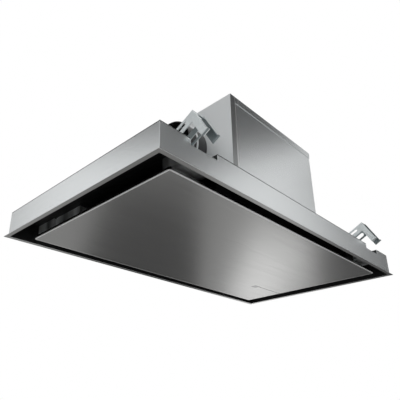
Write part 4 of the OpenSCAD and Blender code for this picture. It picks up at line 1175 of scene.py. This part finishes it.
class HOOD_OT_stage(bpy.types.Operator):
    """Set up the camera, the floor, the studio light and the dark cards that metal reflects"""

    bl_idname = "hood.stage"
    bl_label = "Stage"

    def execute(self, context):
        """Places the camera at the photograph's angle and lights the hood softly."""
        self.camera(context)
        square = np.array([(-1, -1, 0), (1, -1, 0), (1, 1, 0), (-1, 1, 0)])
        stage_sheet("floor", FLOOR_HALF * square + (0, 0, FLOOR_Z), floor_paint())
        self.world(context)
        self.cards()
        for name, setting in LAMPS.items():
            soft_lamp(context, name, *setting)
        context.scene.view_settings.view_transform = "Standard"
        return {"FINISHED"}

    def camera(self, context):
        """A camera below the hood, looking up along its forward direction."""
        yaw, pitch, roll = CAMERA_TURN
        forward = Vector((math.sin(yaw) * math.cos(pitch), math.cos(yaw) * math.cos(pitch),
                          math.sin(pitch)))
        level = Vector((math.cos(yaw), -math.sin(yaw), 0.0))
        upright = level.cross(forward)
        right = level * math.cos(roll) + upright * math.sin(roll)
        above = upright * math.cos(roll) - level * math.sin(roll)
        data = bpy.data.cameras.new("photo camera")
        data.sensor_width = 36.0
        data.lens = CAMERA_LENS * data.sensor_width
        data.shift_x, data.shift_y = CAMERA_SHIFT
        data.clip_start, data.clip_end = 0.01, 60.0
        camera = bpy.data.objects.new("photo camera", data)
        turn = Matrix((right, above, -forward)).transposed().to_4x4()
        camera.matrix_world = Matrix.Translation(CAMERA_PLACE) @ turn
        context.scene.collection.objects.link(camera)
        context.scene.camera = camera

    def cards(self):
        """Dark cards out of the camera's sight, which give the sheet metal its dark ends."""
        black = card_paper("black card", linear("#181818"))
        sheets = {}
        for name, setting in FLAGS.items():
            turn, lift, half_turn, half_lift = np.radians(setting)
            out = np.array([math.cos(turn) * math.cos(lift), math.sin(turn) * math.cos(lift),
                            math.sin(lift)])
            side = np.array([-math.sin(turn), math.cos(turn), 0.0])
            rise = np.cross(out, side)
            side = side * FLAG_DISTANCE * math.cos(lift) * math.tan(half_turn)
            rise = rise * FLAG_DISTANCE * math.tan(half_lift)
            corners = [-side - rise, side - rise, side + rise, rise - side]
            sheets[name] = (np.array(corners) + out * FLAG_DISTANCE, black)
        near, far = FLOOR_FLAG_RADII
        radius = np.array([near, near, far, far])
        height = np.full(4, FLOOR_Z + FLOOR_FLAG_RISE)
        for name, (first, last, colour) in FLOOR_FLAGS.items():
            ends = np.radians([first, last, last, first])
            points = np.stack([radius * np.cos(ends), radius * np.sin(ends), height], -1)
            sheets[name] = (points, card_paper(name.replace("flag", "grey card"), linear(colour)))
        for name, (points, paper) in sheets.items():
            sheet = stage_sheet(name, points, paper)
            sheet.visible_camera = sheet.visible_diffuse = sheet.visible_shadow = False

    def world(self, context):
        """White to the camera and in reflections, dimmer as light."""
        world = bpy.data.worlds.new("studio")
        world.use_nodes = True
        tree = world.node_tree
        tree.nodes.clear()
        dim = add(tree, "Background", {"Color": (1, 1, 1, 1), "Strength": WORLD_LIGHT})
        white = add(tree, "Background", {"Color": (1, 1, 1, 1), "Strength": 1.0})
        seen = seen_directly(tree, 1.0, 1.0)
        mixed = add(tree, "MixShader", {0: seen, 1: dim, 2: white})
        add(tree, "OutputWorld", {"Surface": mixed})
        context.scene.world = world


class HOOD_PT_panel(bpy.types.Panel):
    """Lists the steps and the values of the hood's looks"""

    bl_idname = "HOOD_PT_panel"
    bl_label = "Ceiling range hood"
    bl_space_type = "VIEW_3D"
    bl_region_type = "UI"
    bl_category = "Hood"

    def draw(self, context):
        """Draws the values, then one button for each step."""
        own = context.scene.hood
        for name in ("fold_radius", "casing_colour", "panel_colour", "plastic_colour",
                     "grain_spacing", "thread_pitch", "mesh_cell"):
            self.layout.prop(own, name)
        for step in STEPS:
            self.layout.operator(step.bl_idname)


STEPS = (
    HOOD_OT_finishes,
    HOOD_OT_folded_sheets,
    HOOD_OT_suction_panel,
    HOOD_OT_duct_collar,
    HOOD_OT_claws,
    HOOD_OT_clamp_screws,
    HOOD_OT_sheet_screws,
    HOOD_OT_grease_filters,
    HOOD_OT_cable_gland,
    HOOD_OT_stage,
)


def register():
    """Registers the values, the steps and the panel."""
    for kind in (HoodSettings, *STEPS, HOOD_PT_panel):
        bpy.utils.register_class(kind)
    bpy.types.Scene.hood = bpy.props.PointerProperty(type=HoodSettings)


def unregister():
    """Takes them away again."""
    del bpy.types.Scene.hood
    for kind in (HOOD_PT_panel, *reversed(STEPS), HoodSettings):
        bpy.utils.unregister_class(kind)


def main():
    register()
    for step in STEPS:
        run = getattr(bpy.ops.hood, step.bl_idname.removeprefix("hood."))
        if run() != {"FINISHED"}:
            raise RuntimeError(step.bl_label + " did not finish")


if __name__ == "__main__":
    main()
